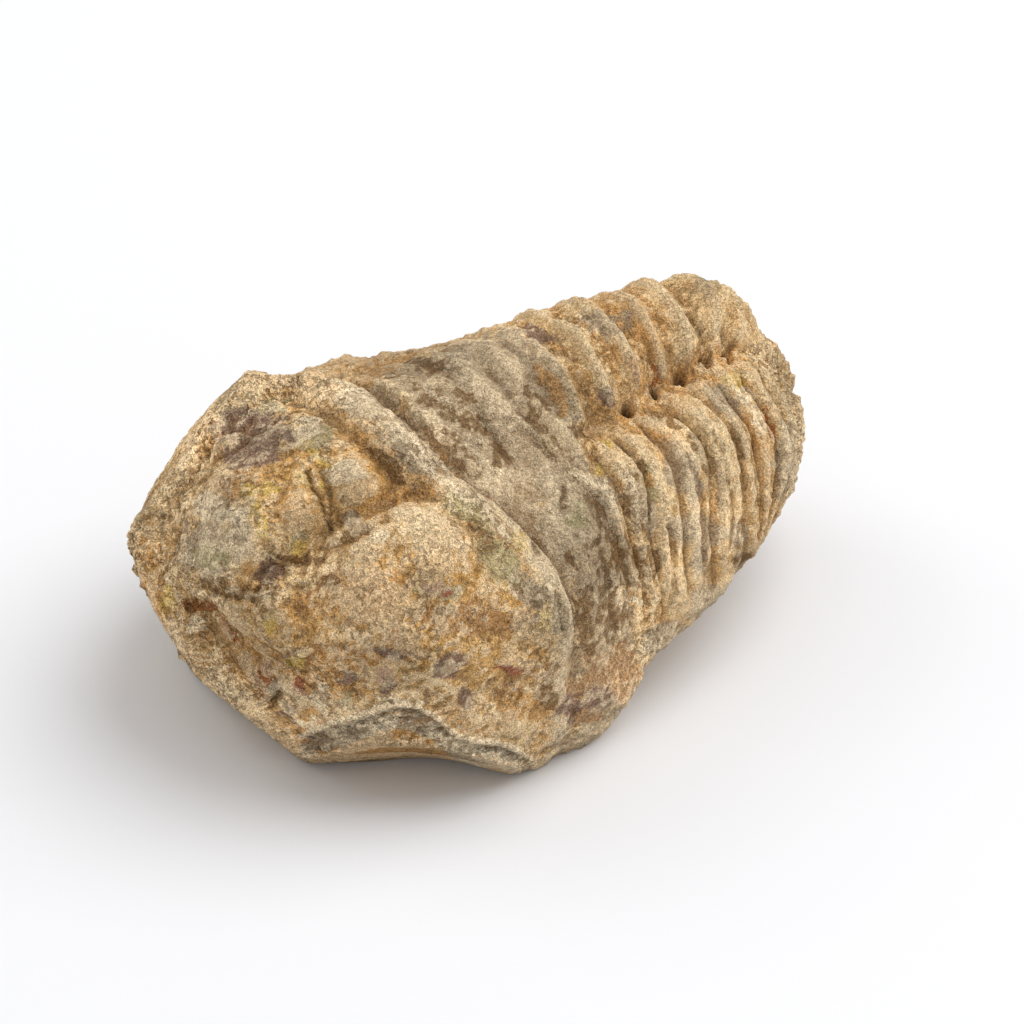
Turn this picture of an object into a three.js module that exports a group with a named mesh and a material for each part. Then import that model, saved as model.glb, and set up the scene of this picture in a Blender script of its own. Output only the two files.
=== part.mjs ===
// A calymenid trilobite, fossilised whole as one piece of limestone with its tail curled down.
// Millimetres, +Z up. The head points to -Y, the tail to +Y, the animal's left side to +X.
// The body is laid out straight first, as cross-sections along Y with an oval cap at each end.
// Relief is added square to that surface, then the tail is bent down and the underside is cut flat.
import * as THREE from 'three';

// Driving dimensions
const FRONT_Y = -33.4;            // front of the head, before its relief
const REAR_Y = 51.5;              // end of the tail while the body is straight
const HEAD_CAP_Y = -12;           // from here forward the sections shrink to the front
const TAIL_CAP_Y = 33;            // from here back they shrink to the tail
const SEGMENT_PITCH = 3.72;       // length of one segment of the back
const SEGMENTS = 13;
const BACK_Y = -7.9;              // where the first segment starts, behind the head
const BEND_Y = 19;                // the tail curls down from here
const BEND_RADIUS = 25;
const BEND_Z = 5;                 // height of the line that it curls about
const BEND_CREEP = 0.16;          // share of its length that the curled part keeps along Y
const FURROW_COLUMN = 0.42;       // the grid column, 0 to 1 from the ridge, that follows the axial furrow

// Sections: y, half width, height of the crown, height where it is widest, depth below that,
// and how square the upper and the lower half are (2 is an ellipse).
const SECTIONS = [
  [-33.4, 23.0, 24.5, 17.0, 22.5, 2.2, 2.0],
  [-28.0, 23.1, 24.9, 14.0, 22.0, 2.3, 2.1],
  [-20.0, 23.4, 25.4, 10.5, 20.0, 2.6, 2.4],
  [-12.0, 23.4, 26.0, 8.5, 17.0, 2.8, 2.4],
  [-4.0, 22.9, 25.8, 8.0, 15.5, 2.7, 2.7],
  [5.0, 20.8, 25.7, 8.5, 11.5, 2.6, 1.8],
  [12.0, 19.6, 25.6, 9.5, 11.8, 2.5, 1.5],
  [20.0, 17.1, 25.5, 11.0, 13.2, 2.4, 1.3],
  [28.0, 15.5, 24.6, 11.0, 13.0, 2.3, 1.3],
  [38.0, 13.2, 22.4, 10.0, 10.5, 2.3, 1.6],
  [51.5, 11.0, 19.0, 9.0, 10.0, 2.3, 1.7],
];

// The raised axis: y, distance of the axial furrow from the ridge, height of the axis above the flanks.
const AXIS = [
  [-34, 3.5, 0], [-31, 6.2, 2.0], [-28, 7.4, 4.0], [-24, 8.4, 4.6], [-18, 9.5, 4.9],
  [-12, 9.4, 4.8], [-5, 9.2, 4.5], [3, 8.8, 4.7], [11, 7.7, 5.4], [18, 6.3, 4.8], [24, 4.8, 4.9],
  [28, 4.2, 3.9], [32, 3.8, 2.2], [37, 3.3, 1.7], [42, 2.8, 1.6], [47, 2.0, 0.7], [51.5, 1.3, 0],
];

// Broken faces of the stone, under the near cheek, under the chin and over the far cheek:
// outward direction, distance from the origin, share that is cut away, depth of its hollow.
const BROKEN_FACES = [
  { out: new THREE.Vector3(0.548, -0.484, -0.682), reach: 17.1, cut: 1, hollow: 1.2 },
  { out: new THREE.Vector3(0.03, -0.783, -0.622), reach: 20.5, cut: 1, hollow: 0 },
  { out: new THREE.Vector3(-0.678, -0.491, 0.546), reach: 33, cut: 0.75, hollow: 0 },
];
const HOLLOW_AT = [17, -19];      // middle of the hollow, x and y
const HOLLOW_RADIUS = 5;

// Dents where bits of stone are missing, behind the far cheek, behind the near lower corner and on
// the tail: x and y, half sizes, depth, height where it fades out, height where it is full.
const DENTS = [
  { at: [-18.5, -9.3], half: [4.5, 2.3], depth: 1.5, fade: 12, full: 18 },
  { at: [22.5, -7.6], half: [4, 1.9], depth: 1, fade: 6, full: 2 },
  { at: [9.5, 41.5], half: [3.5, 3.5], depth: 0.8, fade: 4, full: 8 },
];

// Holes where a ring's furrow meets the axial furrow: number of the segment ahead, depth.
const HOLES = [[5, 1.6], [6, 1.3], [7, 1.5], [8, 1.7], [9, 1.7]];

const clamp = THREE.MathUtils.clamp;
const bump = (value, centre, width) => Math.exp(-(((value - centre) / width) ** 2));
const raised = (value, power) => Math.max(value, 0) ** power;

// 0 at from, 1 at to and beyond, with a smooth start and end. from may be the larger of the two.
function smooth(from, to, value) {
  const t = clamp((value - from) / (to - from), 0, 1);
  return t * t * (3 - 2 * t);
}

// A smooth curve through one column of a table, with no overshoot between its rows.
function along(table, column, at) {
  const last = table.length - 1;
  const y = clamp(at, table[0][0], table[last][0]);
  const slope = (i) => (table[i + 1][column] - table[i][column]) / (table[i + 1][0] - table[i][0]);
  const tangent = (i) => {
    if (i === 0) return slope(0);
    if (i === last) return slope(last - 1);
    const [before, after] = [slope(i - 1), slope(i)];
    if (before * after <= 0) return 0;
    const [a, b] = [table[i][0] - table[i - 1][0], table[i + 1][0] - table[i][0]];
    return 3 * (a + b) / ((2 * b + a) / before + (b + 2 * a) / after);
  };
  let k = 0;
  while (k < last - 1 && y > table[k + 1][0]) k += 1;
  const step = table[k + 1][0] - table[k][0];
  const t = (y - table[k][0]) / step;
  return (1 + 2 * t) * (1 - t) ** 2 * table[k][column] + t * (1 - t) ** 2 * step * tangent(k)
    + t * t * (3 - 2 * t) * table[k + 1][column] + t * t * (t - 1) * step * tangent(k + 1);
}

// 1 up to where a cap starts, then down an oval to 0 at its end.
function cap(y, start, end, power) {
  const t = clamp((y - start) / (end - start), 0, 1);
  return raised(1 - t ** power, 1 / power);
}

// The larger of two heights, with the corner between them rounded over.
function blendMax(a, b, round) {
  const h = clamp(0.5 + 0.5 * (a - b) / round, 0, 1);
  return b + (a - b) * h + round * h * (1 - h);
}

// A rounded lump over an oval patch. turn is in degrees, square is the oval's power, soft its edge.
function dome(x, y, { at, size, height, turn = 0, square = 2, soft = 0.6 }) {
  const angle = THREE.MathUtils.degToRad(turn);
  const [dx, dy] = [x - at[0], y - at[1]];
  const u = Math.abs((dx * Math.cos(angle) + dy * Math.sin(angle)) / size[0]);
  const v = Math.abs((-dx * Math.sin(angle) + dy * Math.cos(angle)) / size[1]);
  return height * raised(1 - u ** square - v ** square, soft);
}

function sectionAt(y) {
  const [half, crown, wide, depth, upper, lower] = [1, 2, 3, 4, 5, 6].map((i) => along(SECTIONS, i, y));
  return {
    wide,
    upper,
    lower,
    half: half * cap(y, HEAD_CAP_Y, FRONT_Y, 2.05) * cap(y, TAIL_CAP_Y, REAR_Y, 2),
    rise: (crown - wide) * cap(y, HEAD_CAP_Y, FRONT_Y, 2.6) * cap(y, TAIL_CAP_Y, REAR_Y, 2.4),
    drop: depth * cap(y, HEAD_CAP_Y, FRONT_Y, 1.8) * cap(y, TAIL_CAP_Y, REAR_Y, 2.0),
  };
}

// A point of the plain straight body. angle is 0 at the near edge, 90 degrees on the ridge.
function plainPoint(y, angle) {
  const s = sectionAt(y);
  const [c, v] = [Math.cos(angle), Math.sin(angle)];
  const power = v >= 0 ? s.upper : s.lower;
  const r = (Math.abs(c) ** power + Math.abs(v) ** power) ** (-1 / power);
  return new THREE.Vector3(s.half * r * c, y, s.wide + (v >= 0 ? s.rise : s.drop) * r * v);
}

// The outward direction there, by differences.
function outward(y, angle) {
  const step = 1e-3;
  const alongY = plainPoint(y + step, angle).sub(plainPoint(y - step, angle));
  const around = plainPoint(y, angle + step).sub(plainPoint(y, angle - step));
  return around.cross(alongY).normalize().negate();
}

// Segments run back, then forward again, as they go out from the axis and down the flank.
function sweep(x, y) {
  const out = Math.abs(x);
  const front = 3.8 * smooth(8.5, 21, out);
  const rear = 1.3 * smooth(8, 14, out) - 3.0 * smooth(14, 21, out);
  const share = smooth(-6, 10, y);
  return (front * (1 - share) + rear * share) * (1 - smooth(34, 46, y)) * smooth(-26, -14, y);
}

// Angle of an upper column: column is 1 on the near edge, 0 on the ridge and -1 on the far edge.
function upperAngle(y, column) {
  const s = sectionAt(y);
  const furrow = Math.min(along(AXIS, 1, y) + 0.4, 0.85 * s.half);
  const angleAt = (x) => Math.atan2(raised((s.half / x) ** s.upper - 1, 1 / s.upper), 1);
  const out = Math.abs(column);
  const angle = out < FURROW_COLUMN
    ? angleAt(Math.max(out / FURROW_COLUMN * furrow, 1e-6))
    : angleAt(furrow) * (1 - (out - FURROW_COLUMN) / (1 - FURROW_COLUMN));
  return column >= 0 ? angle : Math.PI - angle;
}

// Angle of a lower column on the near side: share is 0 at the widest line and 1 on the ground.
function lowerAngle(y, share) {
  const s = sectionAt(y);
  const q = Math.min(share * s.wide / s.drop, 0.96);
  return -Math.atan2(q, raised(1 - q ** s.lower, 1 / s.lower));
}

// Share of fine sediment left on the front of the back, most on the near side.
function sedimentAt(x, y) {
  const edge = 5.6 - 0.22 * (x - 3) * smooth(3, 9, x) + smooth(14, 20, x);
  const patch = (1 - smooth(edge - 1.6, edge + 1.2, y)) * smooth(-10.5, -8.5, y);
  return patch * (0.62 + 0.38 * smooth(-7, 3, x)) * (1 - 0.25 * smooth(18.5, 21.5, x));
}

// Height of the furrow behind the front border of the head. It is lower on the near side.
function borderFurrowZ(x) {
  return clamp(17.6 - 0.55 * x - 0.45 * Math.max(x - 5, 0), 7, 20.5);
}

// Relief of the back: the axis with its rings, the ribs of the flanks, sediment and holes.
function backRelief(p, facingUp, row) {
  const { x, y, z } = p;
  const out = Math.abs(x);
  const furrow = along(AXIS, 1, y);
  const t = out / furrow;
  const top = smooth(0.03, 0.4, facingUp);
  const side = smooth(-0.75, -0.3, facingUp);
  const sediment = sedimentAt(x, y);
  const count = (row - BACK_Y) / SEGMENT_PITCH;
  const phase = count - Math.floor(count);
  const present = smooth(-0.15, 0.25, count) * (1 - 0.55 * smooth(26, 32, y))
    * (1 - smooth(SEGMENTS - 1.5, SEGMENTS, count));
  const onAxis = 1 - smooth(0.9, 1.1, t);
  const ring = 1.4 * (bump(phase, 0.52, 0.17) - 0.3);
  const rib = 0.8 * Math.exp(-(Math.abs((phase - 0.33) / 0.27) ** 2.4)) + 0.3 * bump(phase, 0.77, 0.15)
    - 0.3 * bump(Math.min(phase, 1 - phase), 0, 0.07) - 0.3;
  const ringShare = (1 - 0.85 * sediment) * (1 - 0.8 * smooth(25, 29, y)) * onAxis * top
    * (0.4 + 0.6 * smooth(-2, 4, x));
  const ribShare = (1 - 0.8 * sediment) * (0.15 + 0.85 * smooth(7, 18, z)) * (1 - onAxis) * side
    * smooth(furrow - 0.5, furrow + 4.5, out);
  const bare = (1 - sediment) * raised(1 - t ** 2.1, 0.78);
  const covered = sediment * Math.exp(-((t / 0.92) ** 2.2));
  let height = along(AXIS, 2, y) * (bare + covered) * top;
  height -= 0.2 * bump(out, furrow + 0.8, 1.2) * top * (1 - sediment);
  height += 0.6 * bump(y, 24.5, 3) * bump(x, -0.5, 4.5) * top;
  height += (0.8 * bump(y, -6.5, 4) - 0.7 * bump(y, 6.5, 4.5)) * smooth(-9, -14, x) * top;
  height += present * (ring * ringShare + 1.1 * rib * ribShare);
  height += 0.3 * sediment * bump(out, furrow + 1.5, 2.6) * top;
  let hole = 0;
  for (const [segment, depth] of HOLES) {
    const holeY = BACK_Y + SEGMENT_PITCH * (segment + 0.1);
    const holeX = along(AXIS, 1, holeY) + 0.2;
    const near = ((x - holeX) / 0.75) ** 2 + ((row - holeY) / 0.6) ** 2;
    const far = ((x + holeX) / 0.75) ** 2 + ((row - holeY) / 0.6) ** 2;
    hole = Math.max(hole, depth * Math.exp(-(near ** 1.3)), 0.7 * depth * Math.exp(-(far ** 1.3)));
  }
  return height - hole;
}

// The glabella, the raised middle of the head, with two pairs of lobes and the ring behind it.
function glabella(x, y, z) {
  const out = Math.abs(x);
  const furrowZ = borderFurrowZ(x);
  const reach = z + 2 * smooth(-30, -22, y) + 20 * smooth(-24, -20, y);
  let height = dome(x, y, { at: [0.3, -21.4], size: [10.4, 11.4], height: 4.3, square: 2.6, soft: 0.8 });
  for (const side of [-1, 1]) {
    const share = side > 0 ? 1 : 0.7;
    const back = { at: [side * 6.6, -18.7], size: [3.6, 3.3], height: 4.1 * share, turn: -18 * side };
    const front = { at: [side * 6.1, -23.9], size: [3.1, 2.5], height: 3.6 * share, turn: -14 * side };
    height = blendMax(height, dome(x, y, back), 2);
    height = blendMax(height, dome(x, y, front), 2);
  }
  height = blendMax(height, dome(x, y, { at: [0.4, -27.8], size: [6.6, 5], height: 3.8, square: 2.3 }), 2);
  height *= smooth(furrowZ, furrowZ + 7, reach);
  height -= 0.3 * bump(y, -16 + 0.006 * out * out, 0.75) * (1 - smooth(8.5, 10, out));
  for (const side of [-1, 1]) {
    const slit = Math.hypot(Math.max(Math.abs(x - side * 6.9) - 2.3, 0), y + 21.2 + 0.3 * (out - 6.9));
    height -= 0.4 * bump(slit, 0, 0.5);
  }
  const ring = 4.6 * raised(1 - (out / 9.8) ** 2.4, 0.7)
    * raised(1 - Math.abs((y + 12.8) / 3.1) ** 2.4, 0.7);
  return blendMax(height, ring, 2);
}

// Relief of the head: glabella, cheeks, rear border and the rolled border round the front.
function headRelief(p, facingUp, row) {
  const { x, y, z } = p;
  const out = Math.abs(x);
  const top = smooth(0.03, 0.4, facingUp);
  const side = smooth(-0.75, -0.3, facingUp);
  const furrow = -0.75 * bump(out, along(AXIS, 1, y) + 0.55, 0.95)
    * (1 - smooth(-14, -12.5, y)) * smooth(-32, -29, y);
  const cheeks = dome(x, y, { at: [13.6, -19.8], size: [6.8, 8.6], height: 2.5, turn: 12, soft: 1.1 })
    + dome(x, y, { at: [-13.8, -19.5], size: [6.8, 8.2], height: 2.2, turn: -12, soft: 1.1 })
    + dome(x, y, { at: [-18.6, -13.6], size: [3.2, 2.6], height: 0.6, soft: 1 });
  const rearFurrow = bump(row, -14.7, 1.15) * (1 - smooth(20.5, 22.5, out));
  const rearBorder = (0.8 * bump(row, -12, 1.6) - 0.55 * rearFurrow) * (1 - 0.9 * smooth(-9, -15, x));
  const drop = z - borderFurrowZ(x);
  const roll = (1.2 * bump(drop, -4.2, 2.5) - 0.6 * bump(drop, 0, 1.1))
    * (1 - smooth(-25, -16, y)) * (1 - 0.45 * smooth(0, -8, x))
    * smooth(-16, -6, x) * (1 - smooth(3, 12, x));
  return (glabella(x, y, z) + furrow + cheeks) * top + rearBorder * smooth(9, 11, out) * side + roll;
}

// Depth of the dents where bits of stone are missing.
function dents({ x, y, z }) {
  let depth = 0;
  for (const dent of DENTS) {
    const across = bump(x, dent.at[0], dent.half[0]) * bump(y, dent.at[1], dent.half[1]);
    depth += dent.depth * across * smooth(dent.fade, dent.full, z);
  }
  return depth;
}

// Slow, uneven swelling of the stone.
function lumps({ x, y, z }) {
  return 0.34 * Math.sin(0.31 * x + 0.22 * y + 1.3) * Math.sin(0.27 * z - 0.19 * y + 0.4)
    + 0.26 * Math.sin(0.52 * y - 0.21 * x + 2.1) * Math.sin(0.44 * x + 0.37 * z + 0.8)
    + 0.16 * Math.sin(0.93 * x + 0.71 * z + 0.5) * Math.sin(0.83 * y + 0.41 * z + 1.9)
    - dents({ x, y, z });
}

// Curls the tail down about a line across the body, trims the broken faces and the resting face.
function settle(p) {
  const s = Math.max(p.y - BEND_Y, 0);
  const r = Math.max(p.z - BEND_Z, 0);
  const creep = BEND_CREEP * (0.5 + 0.5 * smooth(8, 20, p.z));
  if (s > 0) p.y = BEND_Y + r * Math.sin(s / BEND_RADIUS) + creep * s;
  if (s > 0 && r > 0) p.z = BEND_Z + r * Math.cos(s / BEND_RADIUS);
  const away = ((p.x - HOLLOW_AT[0]) ** 2 + (p.y - HOLLOW_AT[1]) ** 2) / HOLLOW_RADIUS ** 2;
  for (const { out, reach, cut, hollow } of BROKEN_FACES) {
    const over = Math.max(p.dot(out) - reach + hollow * Math.exp(-away), 0);
    p.addScaledVector(out, -cut * over);
  }
  p.z = Math.max(p.z, 0);
  return p;
}

// A point of the finished surface. row is the line of the grid; its columns sweep back from it.
function surfacePoint(row, angleOf) {
  const straight = plainPoint(row, angleOf(row));
  const y = clamp(row + sweep(straight.x, row), FRONT_Y + 1e-3, REAR_Y - 1e-3);
  const angle = angleOf(y);
  const p = plainPoint(y, angle);
  const out = outward(y, angle);
  const isBack = smooth(BACK_Y - 2.8, BACK_Y - 1.6, row);
  const relief = backRelief(p, out.z, row) * isBack + headRelief(p, out.z, row) * (1 - isBack);
  const swell = lumps(p) * smooth(-0.95, -0.6, out.z);
  return settle(p.addScaledVector(out, relief + swell));
}

// Grid lines along the body: close together at the front, then on each ring's furrows and crests.
function rowLines() {
  const rows = [];
  const headRows = 24;
  for (let k = 0; k <= headRows; k += 1) {
    rows.push(FRONT_Y + (BACK_Y - FRONT_Y) * (Math.max(k, 0.3) / (headRows + 0.5)) ** 1.35);
  }
  for (let segment = 0; segment < SEGMENTS; segment += 1) {
    const phases = segment < 10 ? [0, 0.25, 0.5, 0.75] : [0, 0.5];
    for (const phase of phases) rows.push(BACK_Y + SEGMENT_PITCH * (segment + phase));
  }
  const tailStart = BACK_Y + SEGMENT_PITCH * SEGMENTS;
  const tailRows = 7;
  for (let k = 0; k < tailRows; k += 1) {
    rows.push(REAR_Y - (REAR_Y - tailStart) * (1 - Math.max(k, 0) / (tailRows - 0.6)) ** 1.35);
  }
  return rows;
}

// Grid lines round the body, as functions that give the angle for a y: near edge, ridge, far edge, base.
function columnAngles() {
  const columns = [];
  const inner = 6;
  const outer = 14;
  const widths = [];
  for (let k = 0; k < inner; k += 1) widths.push(FURROW_COLUMN * k / inner);
  for (let k = 0; k <= outer; k += 1) widths.push(FURROW_COLUMN + (1 - FURROW_COLUMN) * (k / outer) ** 1.1);
  const upper = [...widths.slice(1).reverse(), ...widths.map((w) => -w)];
  for (const column of upper) columns.push((y) => upperAngle(y, column));
  const lower = 6;
  const base = 4;
  for (let k = 1; k <= lower; k += 1) columns.push((y) => Math.PI - lowerAngle(y, k / lower));
  for (let k = 1; k <= base; k += 1) {
    const share = k / (base + 1);
    columns.push((y) => {
      const near = 2 * Math.PI + lowerAngle(y, 1);
      const far = Math.PI - lowerAngle(y, 1);
      return far + (near - far) * share;
    });
  }
  for (let k = lower; k >= 1; k -= 1) columns.push((y) => 2 * Math.PI + lowerAngle(y, k / lower));
  return columns;
}

// The closed surface: the grid of rows and columns with a fan over each end.
function stoneGeometry() {
  const rows = rowLines();
  const columns = columnAngles();
  const grid = rows.map((row) => columns.map((angleOf) => surfacePoint(row, angleOf)));
  const middle = (ring) => ring.reduce((sum, p) => sum.add(p), new THREE.Vector3()).divideScalar(ring.length);
  const points = [...grid.flat(), middle(grid[0]), middle(grid[grid.length - 1])];
  const index = [];
  const id = (row, column) => row * columns.length + (column % columns.length);
  for (let c = 0; c < columns.length; c += 1) {
    index.push(points.length - 2, id(0, c), id(0, c + 1));
    for (let r = 0; r < rows.length - 1; r += 1) {
      index.push(id(r, c), id(r + 1, c), id(r, c + 1));
      index.push(id(r + 1, c), id(r + 1, c + 1), id(r, c + 1));
    }
    index.push(points.length - 1, id(rows.length - 1, c + 1), id(rows.length - 1, c));
  }
  const geometry = new THREE.BufferGeometry().setFromPoints(points);
  geometry.setIndex(index);
  geometry.computeBoundingBox();
  const centre = geometry.boundingBox.getCenter(new THREE.Vector3());
  geometry.translate(-centre.x, -centre.y, 0);
  geometry.computeVertexNormals();
  return geometry;
}

const limestone = new THREE.MeshStandardMaterial({ color: 0xac916e, roughness: 0.9, metalness: 0 });
const stone = new THREE.Mesh(stoneGeometry(), limestone);
stone.name = 'trilobite_fossil';

const group = new THREE.Group();
group.add(stone);

export default group;
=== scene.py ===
"""A calymenid trilobite fossil, one piece of stone, lying on a pale studio floor.

Lengths are millimetres until the mesh is made, then metres. The head points to -Y, the tail to +Y,
+X is the animal's left side, which the camera sees. The body is laid out straight as cross-sections
along Y, relief is added square to that surface, and then the tail is bent down.
"""
import bpy
import numpy as np
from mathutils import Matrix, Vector


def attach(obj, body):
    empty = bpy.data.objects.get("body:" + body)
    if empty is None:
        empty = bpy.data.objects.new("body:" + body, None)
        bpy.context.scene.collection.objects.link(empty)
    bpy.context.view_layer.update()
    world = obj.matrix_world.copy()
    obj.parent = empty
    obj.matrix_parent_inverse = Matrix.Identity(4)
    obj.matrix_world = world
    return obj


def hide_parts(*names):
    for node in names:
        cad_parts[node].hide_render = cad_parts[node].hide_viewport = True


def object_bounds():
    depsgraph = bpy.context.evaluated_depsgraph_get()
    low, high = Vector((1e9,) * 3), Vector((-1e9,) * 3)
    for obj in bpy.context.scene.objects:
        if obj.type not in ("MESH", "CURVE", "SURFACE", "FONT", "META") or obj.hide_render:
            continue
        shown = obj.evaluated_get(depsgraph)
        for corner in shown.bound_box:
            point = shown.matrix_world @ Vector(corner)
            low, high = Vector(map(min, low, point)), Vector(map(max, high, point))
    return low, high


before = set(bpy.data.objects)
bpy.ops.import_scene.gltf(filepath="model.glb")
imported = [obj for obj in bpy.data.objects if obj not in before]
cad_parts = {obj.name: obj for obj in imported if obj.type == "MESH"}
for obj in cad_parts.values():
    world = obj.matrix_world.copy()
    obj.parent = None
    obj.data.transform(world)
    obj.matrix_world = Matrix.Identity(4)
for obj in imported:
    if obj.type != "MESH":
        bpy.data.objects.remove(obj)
cad_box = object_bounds()

# ---- driving dimensions, as in the solid
FRONT_Y, REAR_Y = -33.4, 51.5
HEAD_CAP_Y, TAIL_CAP_Y = -12.0, 33.0
SEGMENT_PITCH, SEGMENTS, BACK_Y = 3.72, 13, -7.9
BEND_Y, BEND_RADIUS, BEND_Z, BEND_CREEP = 19.0, 25.0, 5.0, 0.16
FURROW_COLUMN = 0.42

# y, half width, crown height, height where widest, depth below that, squareness above and below
SECTIONS = np.array([
    (-33.4, 23.0, 24.5, 17.0, 22.5, 2.2, 2.0),
    (-28.0, 23.1, 24.9, 14.0, 22.0, 2.3, 2.1),
    (-20.0, 23.4, 25.4, 10.5, 20.0, 2.6, 2.4),
    (-12.0, 23.4, 26.0, 8.5, 17.0, 2.8, 2.4),
    (-4.0, 22.9, 25.8, 8.0, 15.5, 2.7, 2.7),
    (5.0, 20.8, 25.7, 8.5, 11.5, 2.6, 1.8),
    (12.0, 19.6, 25.6, 9.5, 11.8, 2.5, 1.5),
    (20.0, 17.1, 25.5, 11.0, 13.2, 2.4, 1.3),
    (28.0, 15.5, 24.6, 11.0, 13.0, 2.3, 1.3),
    (38.0, 13.2, 22.4, 10.0, 10.5, 2.3, 1.6),
    (51.5, 11.0, 19.0, 9.0, 10.0, 2.3, 1.7),
])

# y, distance of the axial furrow from the ridge, height of the axis above the flanks
AXIS = np.array([
    (-34, 3.5, 0), (-31, 6.2, 2.0), (-28, 7.4, 4.0), (-24, 8.4, 4.6), (-18, 9.5, 4.9),
    (-12, 9.4, 4.8), (-5, 9.2, 4.5), (3, 8.8, 4.7), (11, 7.7, 5.4), (18, 6.3, 4.8), (24, 4.8, 4.9),
    (28, 4.2, 3.9), (32, 3.8, 2.2), (37, 3.3, 1.7), (42, 2.8, 1.6), (47, 2.0, 0.7), (51.5, 1.3, 0),
])

# outward direction, distance from the origin, share cut away
BROKEN_FACES = [
    ((0.548, -0.484, -0.682), 17.1, 1.0),
    ((0.03, -0.783, -0.622), 20.5, 1.0),
    ((-0.678, -0.491, 0.546), 33.0, 0.75),
]
# hollow in the broken face under the cheek
SCOOP_AT, SCOOP_RADIUS, SCOOP_DEPTH = (17.0, -19.0), 5.0, 1.2

# dents: x, y, half width, half length, depth, height where it fades out, height where it is full
DENTS = ((-18.5, -9.3, 4.5, 2.3, 1.5, 12.0, 18.0), (22.5, -7.6, 4.0, 1.9, 1.0, 6.0, 2.0),
         (9.5, 41.5, 3.5, 3.5, 0.8, 4.0, 8.0))

# segment ahead of the hole, depth
HOLES = ((5, 1.6), (6, 1.3), (7, 1.5), (8, 1.7), (9, 1.7))

# grid of the fine surface
FRONT_ROWS, BODY_ROWS, TAIL_ROWS = 112, 158, 58
NEAR_COLUMNS, FAR_COLUMNS = 140, 92
NEAR_LOW, BASE_COLUMNS, FAR_LOW = 36, 8, 24

# fine relief, in millimetres
FOLD_DEPTH, PIT_DEPTH, PIT_SPACING = 0.3, 0.3, 2.1
SKIN_STEP, STREAK_HEIGHT = 0.13, 0.22
LAYER_THICKNESS, LAYER_STEP = 0.62, 0.3

SEED = 7
MM = 1000  # millimetres in a metre
EDGE_GAP = 0.005  # keeps the fine surface inside the solid's box
BRIGHTNESS = 1.45  # allows for the light, so that colours can be given as they look
CLEAN_BRIGHTNESS = 0.92  # share of it on the ribs and the overgrown stretch
ROUGHNESS, SPECULAR = 0.92, 0.15

# camera
CAMERA_AZIMUTH, CAMERA_ELEVATION, CAMERA_DISTANCE = 54.0, 34.0, 450.0
PIXELS_PER_MM = 10.65  # at the camera's target
IMAGE_WIDTH, SENSOR_WIDTH = 1024.0, 36.0
AIM = np.array([0.0, 0.0, 14.0])  # a point inside the body, before the body moves to the origin
AIM_IN_VIEW = (-2.82, 0.66)  # where AIM lies in the picture, right and up of its middle
BODY_MIDDLE = np.array([0.19, 0.98, 0.0])  # middle of the body, which moves to the origin

# stage, in metres
FLOOR_HALF_WIDTH = 3.0
FLOOR_COLOUR, FLOOR_ROUGHNESS, FLOOR_SPECULAR = (245, 246, 249), 0.9, 0.1
SKY_STRENGTH = 0.54
LIGHT_AIM = (0.0, 0.0, 0.014)
# name: direction, distance, diameter, watts, colour
LIGHTS = {
    "key": ((0.2, 0.5, 0.9), 0.9, 0.95, 5.7, (1.0, 0.99, 0.98)),
    "fill": ((-0.8, -0.4, 0.7), 1.0, 0.7, 1.6, (1.0, 1.0, 1.0)),
}

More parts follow.
